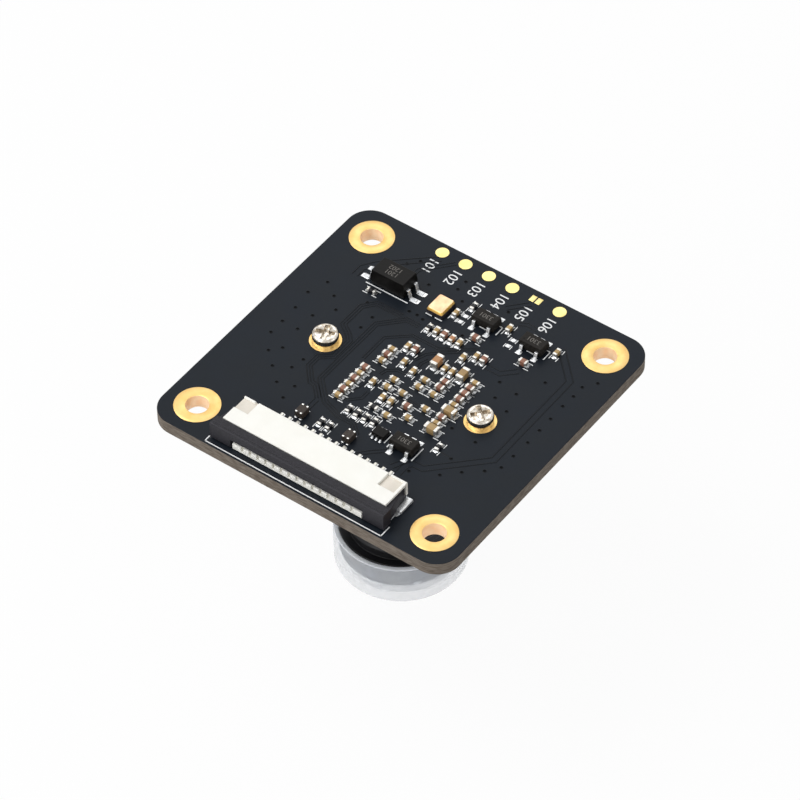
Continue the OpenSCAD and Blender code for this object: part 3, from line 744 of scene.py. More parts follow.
def add_label(bm: BMesh, label: str, place: Vector, size: float, turn: float, height: float,
              align: str = "CENTER") -> None:
    """Adds a flat number.

    Args:
        bm: The mesh to add to.
        label: The digits.
        place: Middle of the number's left end, or its middle, on the surface that it lies on.
        size: Height of the digits in millimetres.
        turn: Turn about the upright axis, in radians.
        height: Thickness of the digits in millimetres.
        align: How the number lies along its own line: LEFT or CENTER.
    """
    text = bpy.data.curves.new("number", "FONT")
    text.body, text.size, text.extrude = label, size * DIGIT_SCALE * MM, height / 2 * MM
    text.align_x, text.align_y = align, "CENTER"
    mesh = mesh_from(text)
    middle = place + Vector((0, 0, height / 2 * MM))
    mesh.transform(Matrix.Translation(middle) @ Matrix.Rotation(turn, 4, "Z"))
    bm.from_mesh(mesh)


def add_turned(bm: BMesh, outline: Sequence[Point], centre: Vector, steps: int,
               closed: bool = True) -> None:
    """Adds a turned shape.

    Args:
        bm: The mesh to add to.
        outline: Radius and height of each point of the section, in millimetres.
        centre: Point on the axis that the heights start from.
        steps: Number of faces round the axis.
        closed: Whether the outline's last point joins its first.
    """
    old = set(bm.verts)
    verts = [bm.verts.new(centre + Vector((r, 0, z)) * MM) for r, z in outline]
    pairs = list(zip(verts, verts[1:])) + ([(verts[-1], verts[0])] if closed else [])
    edges = [bm.edges.new(pair) for pair in pairs]
    bmesh.ops.spin(bm, geom=verts + edges, cent=centre, axis=(0, 0, 1), angle=2 * math.pi, steps=steps,
                   use_merge=True)
    bmesh.ops.remove_doubles(bm, verts=[v for v in bm.verts if v not in old], dist=SAME_SPOT / 2 * MM)
    faces = {face for vert in bm.verts if vert not in old for face in vert.link_faces}
    bmesh.ops.recalc_face_normals(bm, faces=list(faces))


def make_piece(bm: BMesh, name: str, body: Body, finishes: Sequence[Finish], replaces: Iterable[str] = (),
               smooth: float = 40.0) -> None:
    """Turns a mesh into a finished piece that rides on a body.

    Args:
        bm: The mesh, which is freed.
        name: Name of the piece.
        body: The body that it moves with.
        finishes: Its finishes, one material each, in order.
        replaces: CAD nodes that the piece stands for.
        smooth: Edges sharper than this angle in degrees stay sharp.
    """
    mesh = bpy.data.meshes.new(name)
    bm.to_mesh(mesh)
    bm.free()
    mesh.shade_smooth()
    mesh.set_sharp_from_angle(angle=math.radians(smooth))
    piece = add_object(name, mesh)
    for finish in finishes:
        mesh.materials.append(finish.material())
    flatten = piece.modifiers.new("flat_faces", "WEIGHTED_NORMAL")
    flatten.keep_sharp = True
    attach(piece, body.value)
    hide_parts(*replaces)
    LOG.info("%s: %d faces", name, len(mesh.polygons))


def soften(node: str, name: str, body: Body, finish: Finish, radius: float, angle: float = 40.0) -> None:
    """Replaces a CAD node with a copy of itself that has rounded edges.

    Args:
        node: Name of the CAD node.
        name: Name of the new piece.
        body: The body that it moves with.
        finish: Its finish.
        radius: Radius of its edges in millimetres.
        angle: Edges sharper than this angle in degrees are rounded.
    """
    bm = merged_copy(node)
    round_edges(bm, radius, angle)
    make_piece(bm, name, body, [finish], [node])


def dress(node: str, finish: Finish) -> None:
    """Gives a CAD node a finish.

    Args:
        node: Name of the CAD node.
        finish: The finish that it gets.
    """
    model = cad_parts[node]
    if not model.material_slots:
        model.data.materials.append(finish.material())
    for slot in model.material_slots:
        slot.material = finish.material()
    LOG.info("%s: dressed as %s", node, finish.name)


# ---- Board ----


@dataclass(frozen=True)
class Route:
    """A bundle of copper tracks under the solder mask.

    Attributes:
        corners: Middle of the bundle at each corner, in millimetres on the board.
        count: Number of tracks side by side.
        pitch: Spacing of the tracks in millimetres.
    """

    corners: tuple[Point, ...]
    count: int = 1
    pitch: float = 0.3

    def tracks(self) -> list[list[Vector]]:
        """Works out the run of each track.

        Returns:
            The corners of each track, shifted sideways from the middle of the bundle.
        """
        points = [Vector(c) for c in self.corners]
        runs = [(b - a).normalized() for a, b in zip(points, points[1:])]
        before, after = [runs[0]] + runs, runs + [runs[-1]]
        shifts = [Vector((-(a + b).y, (a + b).x)) / (1 + a.dot(b)) for a, b in zip(before, after)]
        places = [(i - (self.count - 1) / 2) * self.pitch for i in range(self.count)]
        return [[p + s * place for p, s in zip(points, shifts)] for place in places]


@dataclass
class Board:
    """Circuit board with its plating, tracks and vias. Lengths are in millimetres.

    Attributes:
        edge_radius: Rounding of the board's edges.
        track_width: Width of a track.
        track_height: Height of a track under the mask.
        ring_height: Height of the plated rings above the board.
        ring_wall: Thickness of the plating in the holes.
        ring_softness: Rounding of the rings' edges.
        land_edge: Rounding of the edges of the lands under the screws and of the test lands.
        ring_steps: Number of faces round a ring.
        via_radius: Outer radius of a via's ring.
        via_section: Points of a via's section, by share of its radius and height.
        via_steps: Number of faces round a via.
        grid_steps: Number of faces along each side of a mound of solder.
        bead: Height of the solder on a pad under a lead.
        fullness: Power that shapes a mound across: the higher, the squarer it is.
        fillet_rise: How far a fillet climbs up a metal end, as a share of the end's height.
        fillet_hollow: Power that hollows a fillet on its way up.
        bracket_bead: Width of the solder bar along the outer edge of a bracket.
        bracket_overhang: Share of the bar that lies outside the bracket.
        bracket_bare: How far the bracket stands past the bar at its front, rear and top.
        bar_edge: Rounding of the bar.
        solder_angle: Edges of the solder sharper than this angle in degrees stay sharp.
        routes: Bundles of tracks.
        left_vias: Middles of the vias on the left of the board.
        right_vias: Middles of the vias on the right of the board.
        rear_vias: Middles of the vias near the test lands.
    """

    edge_radius: float = 0.06
    track_width: float = 0.17
    track_height: float = 0.04
    ring_height: float = 0.04
    ring_wall: float = 0.055
    ring_softness: float = 0.012
    land_edge: float = 0.015
    ring_steps: int = 64
    via_radius: float = 0.25
    via_section: tuple[Point, ...] = ((1, 0), (0.88, 0.02), (0.76, 0.024), (0.64, 0.01), (0, 0.005))
    via_steps: int = 12
    grid_steps: int = 5
    bead: float = 0.03
    fullness: int = 4
    fillet_rise: float = 0.5
    fillet_hollow: int = 2
    bracket_bead: float = 0.7
    bracket_overhang: float = 0.3
    bracket_bare: tuple[float, float, float] = (0.2, 0.1, 0.06)
    bar_edge: float = 0.14
    solder_angle: float = 60.0
    routes: tuple[Route, ...] = (
        Route(((-5.6, 7.5), (-8.8, 7.5), (-9.9, 6.2), (-9.9, 3.0), (-8.6, 2.1), (-7.9, 1.4),
               (-7.9, -1.4), (-9.2, -2.4), (-9.2, -3.9), (-7.6, -5.7), (-6.9, -5.8), (-5.6, -7.1)), 3),
        Route(((-3.2, 7.4), (-4.8, 7.4), (-7.1, 5.0), (-7.1, -4.7), (-4.7, -7.1), (-2.6, -7.9),
               (-0.5, -7.9), (0.7, -9.0)), 3),
        Route(((4.0, 8.3), (2.4, 7.2), (0.4, 5.9), (-2.9, 5.9), (-5.2, 3.9), (-5.2, 0.2)), 2),
        Route(((11.0, 13.3), (14.3, 10.0), (14.3, -3.6), (9.1, -8.8), (7.9, -8.85), (7.4, -9.4),
               (7.4, -10.9)), 2, 0.72),
        Route(((5.9, 6.7), (7.7, 6.7), (9.1, 8.1)), 2, 0.6),
        Route(((9.05, -5.9), (10.6, -5.9))),
        Route(((-7.2, 16.9), (-12.4, 12.2), (-13.3, 10.9), (-13.3, 9.6)), 2, 0.7),
        Route(((-5.5, 17.2), (-8.2, 14.1), (-8.2, 13.2)), 2, 0.4),
        Route(((2.7, 14.9), (4.5, 16.9)), 2, 0.55),
        Route(((5.2, 13.8), (6.0, 14.2), (7.2, 14.1)), 2, 0.45),
        Route(((-0.7, 3.1), (-0.2, 4.5), (0.5, 5.2), (2.6, 6.9)), 2),
        Route(((-4.4, -5.9), (-2.9, -5.5), (-1.9, -4.5), (-1.9, -3.4)), 2),
        Route(((-2.4, -0.6), (-2.2, 0.2), (-1.3, 0.9), (0.1, 1.0)), 2),
        Route(((-3.8, -5.7), (-3.7, -4.6), (-3.0, -3.5), (-2.8, -2.2))),
        Route(((0.3, 2.2), (0.15, 3.1), (0.5, 4.0)), 2),
        Route(((0.9, -2.6), (2.2, -1.9), (3.6, -2.1)), 2),
        Route(((2.4, -11.1), (3.2, -10.2), (4.9, -8.7)), 2, 0.4),
        Route(((7.2, -8.7), (6.3, -10.4)), 2, 0.6),
        Route(((-5.6, -9.0), (-5.6, -7.4)), 2, 0.5),
    )
    left_vias: tuple[Point, ...] = (
        (-15, 7), (-13.2, 5.75), (-9.7, 7), (-8, 5.55), (-15.8, 4.6), (-11.8, 4.2), (-8.1, 3.65),
        (-15.5, 2), (-13.3, 2.1), (-15.4, -0.4), (-13.4, -0.4), (-15.4, -2.4), (-13, -3.5),
        (-14, -4.65), (-10.2, -3.6), (-10.5, -5.2), (-12.3, -6.2), (-8.6, -7.2), (-10.5, -7.8),
        (-8.6, -9.2),
    )
    right_vias: tuple[Point, ...] = (
        (16.8, 11.5), (15.8, 10.1), (15.8, 8.5), (12.3, 8.4), (15.7, 6.7), (8.4, 5.7), (10.8, 5.3),
        (15.7, 4.5), (9.3, 3.6), (11.4, 2.7), (15.7, 2.5), (15.7, 0.4), (15.6, -2), (11.3, -2.7),
        (8.2, -2.5), (15.5, -4), (14.4, -5.4), (12.6, -6.9), (10.6, -6), (11, -8.5), (8.1, -9.9),
    )
    rear_vias: tuple[Point, ...] = (
        (-9.75, 14.15), (-8.8, 15.3), (-6, 12.95), (-3.1, 14.2), (-3.05, 15.6), (-1.65, 13),
        (3.25, 14.55), (-5.35, 8.55), (-4.35, 8.6), (-3.5, 8.4), (1.3, 8.9),
    )

    def build(self) -> None:
        """Builds the board and everything that is plated or printed on its copper."""
        soften("board", "board_panel", Body.MODULE, MASK, self.edge_radius)
        self.build_rings()
        self.build_tracks()
        self.build_vias()
        soften("test_pads", "test_lands", Body.MODULE, LAND_GOLD, self.land_edge)
        soften("screw_pads", "screw_lands", Body.MODULE, GOLD, self.land_edge)
        self.build_solder()

    def build_rings(self) -> None:
        """Turns the plated ring and the copper-lined wall of each mounting hole."""
        parts = loose_parts("hole_linings")
        first = parts[0]
        spots = [v.co - first.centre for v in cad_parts["hole_linings"].data.vertices
                 if first.holds(v.co)]
        bore = min(math.hypot(s.x, s.y) for s in spots) / MM
        rim, high = first.size.x / 2 / MM, first.size.z / 2 / MM
        soft, land = self.ring_softness, high - self.ring_height
        upper = [(bore, high - 3 * soft), (bore + soft, high - soft), (bore + 3 * soft, high),
                 (rim - 2 * soft, high), (rim, high - soft), (rim, land), (bore + self.ring_wall, land)]
        outline = upper + [(radius, -height) for radius, height in reversed(upper)]
        bm = bmesh.new()
        for part in parts:
            add_turned(bm, outline, part.centre, self.ring_steps)
        for face in bm.faces:
            centre = face.calc_center_median()
            nearest = min(parts, key=lambda part: (part.centre - centre).length)
            out = centre - nearest.centre
            # Faces of the bore take the lighter wall plating: painted light in the holes.
            face.material_index = int(math.hypot(out.x, out.y) < (bore + 1.5 * soft) * MM)
        make_piece(bm, "hole_rings", Body.MODULE, [GOLD, LIT_HOLE_WALL], ["hole_linings"])

    def build_tracks(self) -> None:
        """Draws the tracks as flattened cords under the mask."""
        curve = bpy.data.curves.new("tracks", "CURVE")
        curve.dimensions = "3D"
        curve.bevel_depth = self.track_width / 2 * MM
        curve.bevel_resolution = 1
        for track in (t for route in self.routes for t in route.tracks()):
            spline = curve.splines.new("POLY")
            spline.points.add(len(track) - 1)
            for point, spot in zip(spline.points, track):
                point.co = (*(spot * MM), 0, 1)
        bm = bmesh.new()
        bm.from_mesh(mesh_from(curve))
        squeeze = self.track_height / (self.track_width / 2)
        bmesh.ops.transform(bm, verts=bm.verts, matrix=Matrix.Translation((0, 0, board_middle().z))
                            @ Matrix.Diagonal((1, 1, squeeze, 1)))
        make_piece(bm, "masked_tracks", Body.MODULE, [TRACE])

    def build_vias(self) -> None:
        """Turns a low ring with a dark dimple at each via."""
        outline = [(self.via_radius * share, height) for share, height in self.via_section]
        top = board_middle().z
        bm = bmesh.new()
        for x, y in self.left_vias + self.right_vias + self.rear_vias:
            add_turned(bm, outline, Vector((x * MM, y * MM, top)), self.via_steps, closed=False)
        # Only the dimple's faces, which meet in the middle, have three corners.
        for face in bm.faces:
            face.material_index = int(len(face.verts) == 3)
        make_piece(bm, "vias", Body.MODULE, [TRACE, TENTED])

    def build_solder(self) -> None:
        """Lays solder on the pads: a fillet up each part's metal end and a bead under each lead."""
        fillets, beads = bmesh.new(), bmesh.new()
        ends = [box for node in ("capacitor_ends", "resistor_ends") for box in loose_parts(node)]
        for pad in loose_parts("solder_pads"):
            end = next((e for e in ends if pad.holds(e.centre)), None)
            if end:
                self.add_fillet(fillets, pad, end)
            else:
                self.add_bead(beads, pad)
        for foot in loose_parts("connector_brackets"):
            self.add_bar(beads, foot)
        make_piece(fillets, "end_fillets", Body.MODULE, [SOLDER], smooth=self.solder_angle)
        make_piece(beads, "lead_solder", Body.MODULE, [WET_SOLDER], smooth=self.solder_angle)
        dress("solder_pads", SOLDER)

    def add_fillet(self, bm: BMesh, pad: Box, end: Box) -> None:
        """Adds a fillet that climbs from a pad's outer edge up a part's metal end.

        Args:
            bm: The mesh to add to.
            pad: The pad.
            end: The metal end that stands on it.
        """
        away = pad.centre - end.centre
        along = 0 if abs(away.x) > abs(away.y) else 1
        outer = pad.high[along] if away[along] > 0 else pad.low[along]
        inner = end.centre[along]
        size = list(pad.size.xy)
        size[along] = abs(outer - inner)
        middle = Vector((*pad.centre.xy, pad.high.z))
        middle[along] = (outer + inner) / 2
        whole_rise = end.size.z * self.fillet_rise

        def rise(spot: Vector) -> float:
            """Works out the fillet's height over a spot: hollow on its way up, and level across.

            Args:
                spot: The spot.

            Returns:
                The height in metres.
            """
            out = abs(spot[along] - inner) / size[along]
            side = abs(spot[1 - along] - middle[1 - along]) / (size[1 - along] / 2)
            level = 1 - min(side, 1.0) ** self.fullness
            return whole_rise * max(0.0, 1 - out) ** self.fillet_hollow * level

        self.add_mound(bm, middle, size, rise)

    def add_bead(self, bm: BMesh, pad: Box) -> None:
        """Adds a low domed bead over a pad.

        Args:
            bm: The mesh to add to.
            pad: The pad.
        """

        def rise(spot: Vector) -> float:
            """Works out the bead's height over a spot: level in the middle, and nothing at the edges.

            Args:
                spot: The spot.

            Returns:
                The height in metres.
            """
            out = [abs(spot[i] - pad.centre[i]) / (pad.size[i] / 2) for i in (0, 1)]
            return self.bead * MM * (1 - out[0] ** self.fullness) * (1 - out[1] ** self.fullness)

        self.add_mound(bm, Vector((*pad.centre.xy, pad.high.z)), pad.size.xy, rise)

    def add_bar(self, bm: BMesh, foot: Box) -> None:
        """Adds a bar of solder along the outer edge of a bracket.

        Args:
            bm: The mesh to add to.
            foot: The bracket.
        """
        front, rear, upper = (bare * MM for bare in self.bracket_bare)
        outer = foot.high.x if foot.centre.x > 0 else foot.low.x
        width = math.copysign(self.bracket_bead * MM, foot.centre.x)
        sides = sorted((outer + width * self.bracket_overhang, outer - width * (1 - self.bracket_overhang)))
        low = Vector((sides[0], foot.low.y + front, foot.low.z))
        high = Vector((sides[1], foot.high.y - rear, foot.high.z - upper))
        add_block(bm, Box(low, high), self.bar_edge)

    def add_mound(self, bm: BMesh, middle: Vector, size: Sequence[float],
                  rise: Callable[[Vector], float]) -> None:
        """Adds a thin mound with a flat underside.

        Args:
            bm: The mesh to add to.
            middle: Middle of the underside.
            size: Lengths of the underside along X and Y.
            rise: Gives the mound's height over a spot on its underside.
        """
        place = Matrix.Translation(middle) @ Matrix.Diagonal((*size, 1, 1))
        verts = bmesh.ops.create_grid(bm, x_segments=self.grid_steps, y_segments=self.grid_steps,
                                      size=0.5, matrix=place)["verts"]
        for vert in verts:
            vert.co.z += rise(vert.co)
        rim = [edge for edge in edges_of(verts) if edge.is_boundary]
        made = bmesh.ops.holes_fill(bm, edges=rim, sides=0)["faces"]
        faces = list({f for v in verts for f in v.link_faces} | set(made))
        bmesh.ops.recalc_face_normals(bm, faces=faces)


@dataclass
class Print:
    """White marks printed on the board. Lengths are in millimetres.

    Attributes:
        width: Width of the strokes.
        fine_width: Width of the strokes beside the small parts.
        height: Thickness of the ink.
        digit_size: Height of the numbers.
        digit_gap: Distance from a test land's middle to the start of its number.
        first_number: Number of the first test land.
        twin_gap: Lands whose middles are closer than this share a number.
        beside: Distance from the side of a small part to the strokes beside it.
        beyond: How far those strokes reach past the part's ends.
        dash: Length between the middles of their round ends.
        strokes: Start and end of the strokes that stand alone.
        fine_strokes: Start and end of the strokes beside the bare pads.
    """

    width: float = 0.13
    fine_width: float = 0.1
    height: float = 0.015
    digit_size: float = 1.15
    digit_gap: float = 1.15
    first_number: int = 101
    twin_gap: float = 1.2
    beside: float = 0.17
    beyond: float = 0.37
    dash: float = 0.55
    strokes: tuple[tuple[Point, Point], ...] = (
        ((-11.45, -18.7), (11.05, -18.7)), ((11.05, -18.7), (11.05, -17.25)),
        ((-11.45, -18.7), (-11.45, -17.95)), ((10.55, -15.7), (10.55, -16.4)),
        ((-11.65, 9.4), (-6.25, 9.4)), ((-3.75, 9.37), (-3.05, 9.37)), ((-2.55, 9.37), (-1.75, 9.37)),
        ((4.11, 12.3), (4.11, 11.05)), ((4.11, 12.3), (3.7, 12.3)), ((2.0, 11.05), (2.8, 11.05)),
        ((10.23, 12.3), (10.23, 11.05)), ((10.23, 12.3), (9.8, 12.3)), ((8.1, 11.05), (8.9, 11.05)),
        ((7.5, -6.6), (7.5, -8.6)), ((4.3, -8.1), (4.3, -8.5)),
        ((3.75, -6.9), (3.75, -8.2)), ((1.85, -7.9), (1.85, -8.2)),
    )
    fine_strokes: tuple[tuple[Point, Point], ...] = tuple(
        ((x, y), (x, y - 0.5)) for x in (-0.45, 0.37, 5.7, 6.5) for y in (11.7, 10.65)
    )

    def build(self) -> None:
        """Prints the strokes and the numbers."""
        top = board_middle().z
        bm = bmesh.new()
        for start, end in self.strokes:
            add_stroke(bm, start, end, self.width, top, self.height)
        for start, end in (*self.part_strokes(), *self.fine_strokes):
            add_stroke(bm, start, end, self.fine_width, top, self.height)
        self.add_numbers(bm)
        make_piece(bm, "printed_marks", Body.MODULE, [INK])

    def part_strokes(self) -> list[tuple[Point, Point]]:
        """Works out the two short strokes on each side of every small part.

        Returns:
            The start and the end of each stroke.
        """
        made: list[tuple[Point, Point]] = []
        for part in small_parts():
            side = part.width / 2 + self.beside
            reach = part.length / 2 + self.beyond
            made += [(part.spot(way * reach, across), part.spot(way * (reach - self.dash), across))
                     for across in (-side, side) for way in (-1, 1)]
        return made

    def add_numbers(self, bm: BMesh) -> None:
        """Adds a number in front of each test land, read from the right.

        Args:
            bm: The mesh to add to.
        """
        groups: list[Vector] = []
        for land in loose_parts("test_pads"):
            if groups and abs(land.centre.x - groups[-1].x) < self.twin_gap * MM:
                groups[-1] = (groups[-1] + land.centre) / 2
            else:
                groups.append(land.centre)
        for count, spot in enumerate(groups, start=self.first_number):
            place = Vector((spot.x, spot.y - self.digit_gap * MM, board_middle().z))
            add_label(bm, str(count), place, self.digit_size, -math.pi / 2, self.height, "LEFT")


# ---- Small parts ----


@dataclass(frozen=True)
class SmallPart:
    """A capacitor or resistor with a metal end on each side.

    Attributes:
        body: The space of the ceramic between the ends.
        ends: The spaces of the two metal ends.
    """

    body: Box
    ends: tuple[Box, Box]

    @property
    def along(self) -> int:
        """Axis that the part lies along: 0 for X and 1 for Y."""
        gap = self.ends[1].centre - self.ends[0].centre
        return 0 if abs(gap.x) > abs(gap.y) else 1

    @property
    def length(self) -> float:
        """Length over the metal ends, in millimetres."""
        spots = [c for end in self.ends for c in (end.low[self.along], end.high[self.along])]
        return (max(spots) - min(spots)) / MM

    @property
    def width(self) -> float:
        """Width of the part in millimetres."""
        return self.body.size[1 - self.along] / MM

    def spot(self, along: float, across: float) -> Point:
        """Works out a place beside the part.

        Args:
            along: Distance from its middle along the part, in millimetres.
            across: Distance from its middle across the part, in millimetres.

        Returns:
            The place on the board, in millimetres.
        """
        middle = self.body.centre / MM
        shift = (along, across) if self.along == 0 else (across, along)
        return middle.x + shift[0], middle.y + shift[1]


@cache
def small_parts(*nodes: str) -> tuple[SmallPart, ...]:
    """Pairs the ceramic bodies of some nodes with their metal ends.

    Args:
        nodes: CAD nodes of bodies, or none for all of them.

    Returns:
        The parts.
    """
    ends = [box for node in ("capacitor_ends", "resistor_ends") for box in loose_parts(node)]
    made = []
    for node in nodes or ("tan_capacitors", "brown_capacitors", "large_capacitors", "resistor_bodies"):
        for body in loose_parts(node):
            near = sorted(ends, key=lambda end: (end.centre - body.centre).length)[:2]
            made.append(SmallPart(body, (near[0], near[1])))
    return tuple(made)


@dataclass
class SmallParts:
    """Capacitors and resistors. Lengths are in millimetres.

    Attributes:
        body_radius: Rounding of the ceramic's edges.
        end_radius: Rounding of the metal ends.
        end_swell: How far the metal ends stand out past the ceramic.
        high_tones: Middles of the parts that are redder than the rest.
        middle_tones: Middles of the parts that are darker than the rest.
        tone_reach: How far from such a place a part's middle may be.
        low_tone: Highest tone of the other parts.
        tone_step: Step from one of them to the next, as a share of that range.
    """

    body_radius: float = 0.025
    end_radius: float = 0.055
    end_swell: float = 0.012
    high_tones: tuple[Point, ...] = ((0.9, 7.65), (1.65, 3.95))
    middle_tones: tuple[Point, ...] = ((11, 12.4), (4.95, 3.95))
    tone_reach: float = 0.3
    low_tone: float = 0.4
    tone_step: float = 0.618

    def build(self) -> None:
        """Builds the bodies of each kind and all their metal ends."""
        for node, finish in (("tan_capacitors", TAN), ("brown_capacitors", BROWN),
                             ("large_capacitors", OLIVE), ("resistor_bodies", RESISTOR)):
            bm = bmesh.new()
            for index, part in enumerate(small_parts(node)):
                add_block(bm, part.body, self.body_radius, self.tone(part, index))
            make_piece(bm, node + "_rounded", Body.MODULE, [finish], [node])
        for node in ("capacitor_ends", "resistor_ends"):
            bm = bmesh.new()
            for end in loose_parts(node):
                add_block(bm, end, self.end_radius, swell=self.end_swell)
            make_piece(bm, node + "_rounded", Body.MODULE, [TIN_END], [node])

    def tone(self, part: SmallPart, index: int) -> float:
        """Picks the shade of a part.

        Args:
            part: The part.
            index: Its place in the row.

        Returns:
            Its tone, from 0 to 1.
        """
        x, y = part.spot(0, 0)
        for tones, value in ((self.high_tones, 1.0), (self.middle_tones, 0.5)):
            if any(math.hypot(x - spot[0], y - spot[1]) < self.tone_reach for spot in tones):
                return value
        return self.low_tone * math.modf(index * self.tone_step)[0]


@dataclass
class Chips:
    """Moulded chips, their leads and the coils. Lengths are in millimetres.

    Attributes:
        edge: Rounding of the moulded bodies.
        lead_edge: Rounding of the leads.
        angle: Edges sharper than this angle in degrees are rounded.
        dimple_radius: Radius of the mark beside each chip's first lead.
        dimple_section: Points of the mark's section, by share of its radius and height.
        dimple_steps: Number of faces round the mark.
        dimple_inset: Distance of the mark from the body's corner along both sides.
        cover_skirt: How far the oscillator's cover reaches down past the top of its base.
        cover_corner: Rounding of the cover's corners.
        cover_edge: Rounding round the cover's top.
        cover_top: Least upward share of a face's direction for it to be part of the cover's top.
        silvering: Depth of the silvered tops of the chokes' corner posts.
        number_size: Height of the numbers on the chips.
        number_height: Thickness of their ink.
        row_step: Distance between rows of numbers, as a share of their height.
        numbers: Rows of numbers on each kind of chip.
    """

    edge: float = 0.05
    lead_edge: float = 0.03
    angle: float = 30.0
    dimple_radius: float = 0.14
    dimple_section: tuple[Point, ...] = ((1, -0.01), (1, 0.008), (0.86, 0.012), (0.72, 0.004), (0, 0.002))
    dimple_steps: int = 20
    dimple_inset: float = 0.42
    cover_skirt: float = 0.1
    cover_corner: float = 0.2
    cover_edge: float = 0.05
    cover_top: float = 0.75
    silvering: float = 0.1
    number_size: float = 0.6
    number_height: float = 0.004
    row_step: float = 1.3
    numbers: tuple[tuple[str, tuple[str, ...]], ...] = (
        ("optocoupler_body", ("1201", "1202")), ("regulator_bodies", ("3301",)),
    )

    def build(self) -> None:
        """Builds the chips with their leads."""
        for node, finish in (("regulator_bodies", EPOXY), ("optocoupler_body", EPOXY_SATIN),
                             ("logic_chip_body", EPOXY_SATIN), ("oscillator_base", DARK_CERAMIC),
                             ("choke_bodies", FERRITE)):
            soften(node, node + "_moulded", Body.MODULE, finish, self.edge, self.angle)
        self.build_cover()
        self.build_corners()
        self.build_numbers()
        for node in ("regulator_leads", "optocoupler_leads", "logic_chip_leads"):
            soften(node, node + "_bent", Body.MODULE, TIN, self.lead_edge, self.angle)
        self.build_dimples()

    def build_cover(self) -> None:
        """Builds the oscillator's drawn metal cover, down over the top of its base, with its flanks painted
        darker as shade.
        """
        base, lid = node_box("oscillator_base"), node_box("oscillator_lid")
        low = Vector((*base.low.xy, base.high.z - self.cover_skirt * MM))
        whole = Box(low, Vector((*base.high.xy, lid.high.z)))
        bm = bmesh.new()
        crown = [v for v in add_cube(bm, whole.centre, whole.size) if v.co.z > whole.centre.z]
        share = [lid.size[i] / whole.size[i] for i in (0, 1)]
        bmesh.ops.scale(bm, vec=(*share, 1), space=Matrix.Translation(-whole.centre), verts=crown)
        bevel(bm, upright_edges(bm.verts), self.cover_corner, segments=3, clamp=False)
        rim = [e for e in bm.edges if all(v.co.z > whole.centre.z for v in e.verts)]
        bevel(bm, rim, self.cover_edge)
        # Faces that don't face up take the darker metal: painted shade on the flanks.
        for face in bm.faces:
            face.material_index = int(face.normal.z < self.cover_top)
        make_piece(bm, "oscillator_cover", Body.MODULE, [LID_GOLD, SHADED_LID_SIDE], ["oscillator_lid"])

    def build_numbers(self) -> None:
        """Marks the chips with faint plain numbers, read from the rear."""
        bm = bmesh.new()
        for node, rows in self.numbers:
            for part in loose_parts(node):
                for row, label in enumerate(rows):
                    shift = (row - (len(rows) - 1) / 2) * self.number_size * self.row_step * MM
                    spot = Vector((part.centre.x, part.centre.y + shift, part.high.z))
                    add_label(bm, label, spot, self.number_size, math.pi, self.number_height)
        make_piece(bm, "chip_numbers", Body.MODULE, [CHIP_INK])

    def build_corners(self) -> None:
        """Gives the chokes' corner posts silvered tops."""
        bm = merged_copy("choke_terminals")
        round_edges(bm, self.lead_edge)
        top = max(v.co.z for v in bm.verts)
        for face in bm.faces:
            face.material_index = int(face.calc_center_median().z < top - self.silvering * MM)
        make_piece(bm, "choke_corners", Body.MODULE, [COIL_DOT, FERRITE], ["choke_terminals"])

    def build_dimples(self) -> None:
        """Turns a shallow round mark at one corner of each moulded chip."""
        outline = [(self.dimple_radius * share, height) for share, height in self.dimple_section]
        bm = bmesh.new()
        for node in ("regulator_bodies", "optocoupler_body"):
            for part in loose_parts(node):
                corner = Vector((part.low.x, part.low.y, part.high.z))
                inset = Vector((self.dimple_inset, self.dimple_inset, 0)) * MM
                add_turned(bm, outline, corner + inset, self.dimple_steps, closed=False)
        make_piece(bm, "first_lead_marks", Body.MODULE, [EPOXY_SATIN])


# ---- Connector and screws ----


@dataclass
class Connector:
    """Ribbon cable connector with its sliding latch. Lengths are in millimetres.

    Attributes:
        housing_edge: Rounding of the housing's edges.
        latch_edge: Rounding of the latch's edges.
        metal_edge: Rounding of the contacts and brackets.
        recess_depths: Least and greatest depth of the recesses in the housing's top.
        recess_floor: Least upward share of a face's direction for it to be part of their floors.
    """

    housing_edge: float = 0.05
    latch_edge: float = 0.06
    metal_edge: float = 0.03
    recess_depths: tuple[float, float] = (0.12, 0.46)
    recess_floor: float = 0.7

    def build(self) -> None:
        """Builds the housing, the latch, the contacts and the brackets."""
        self.build_socket()
        soften("connector_latch", "cable_latch", Body.LATCH, BLACK_NYLON, self.latch_edge)
        soften("connector_contacts", "cable_contacts", Body.MODULE, CONTACT, self.metal_edge)
        soften("connector_brackets", "socket_brackets", Body.MODULE, TIN, self.metal_edge)

    def build_socket(self) -> None:
        """Builds the housing, with a rougher finish on the recess floors of its top, painted darker there
        as shade.
        """
        bm = merged_copy("connector_housing")
        round_edges(bm, self.housing_edge)
        top = max(v.co.z for v in bm.verts)
        least, greatest = (depth * MM for depth in self.recess_depths)
        for face in bm.faces:
            deep = least < top - face.calc_center_median().z < greatest
            # Recess floors take the darker nylon: painted shade in the recesses.
            face.material_index = int(deep and face.normal.z > self.recess_floor)
        make_piece(bm, "cable_socket", Body.MODULE, [WHITE_NYLON, SHADED_MATT_NYLON], ["connector_housing"])


@dataclass
class Screws:
    """The two screws that hold the lens holder. Lengths are in millimetres.

    Attributes:
        edge: Rounding of the edges of the head and its recess.
        angle: Edges sharper than this angle in degrees are rounded.
    """

    edge: float = 0.05
    angle: float = 50.0

    def build(self) -> None:
        """Builds the screws."""
        soften("holder_screws", "pan_head_screws", Body.MODULE, NICKEL, self.edge, self.angle)


# ---- Lens, holder and cap ----


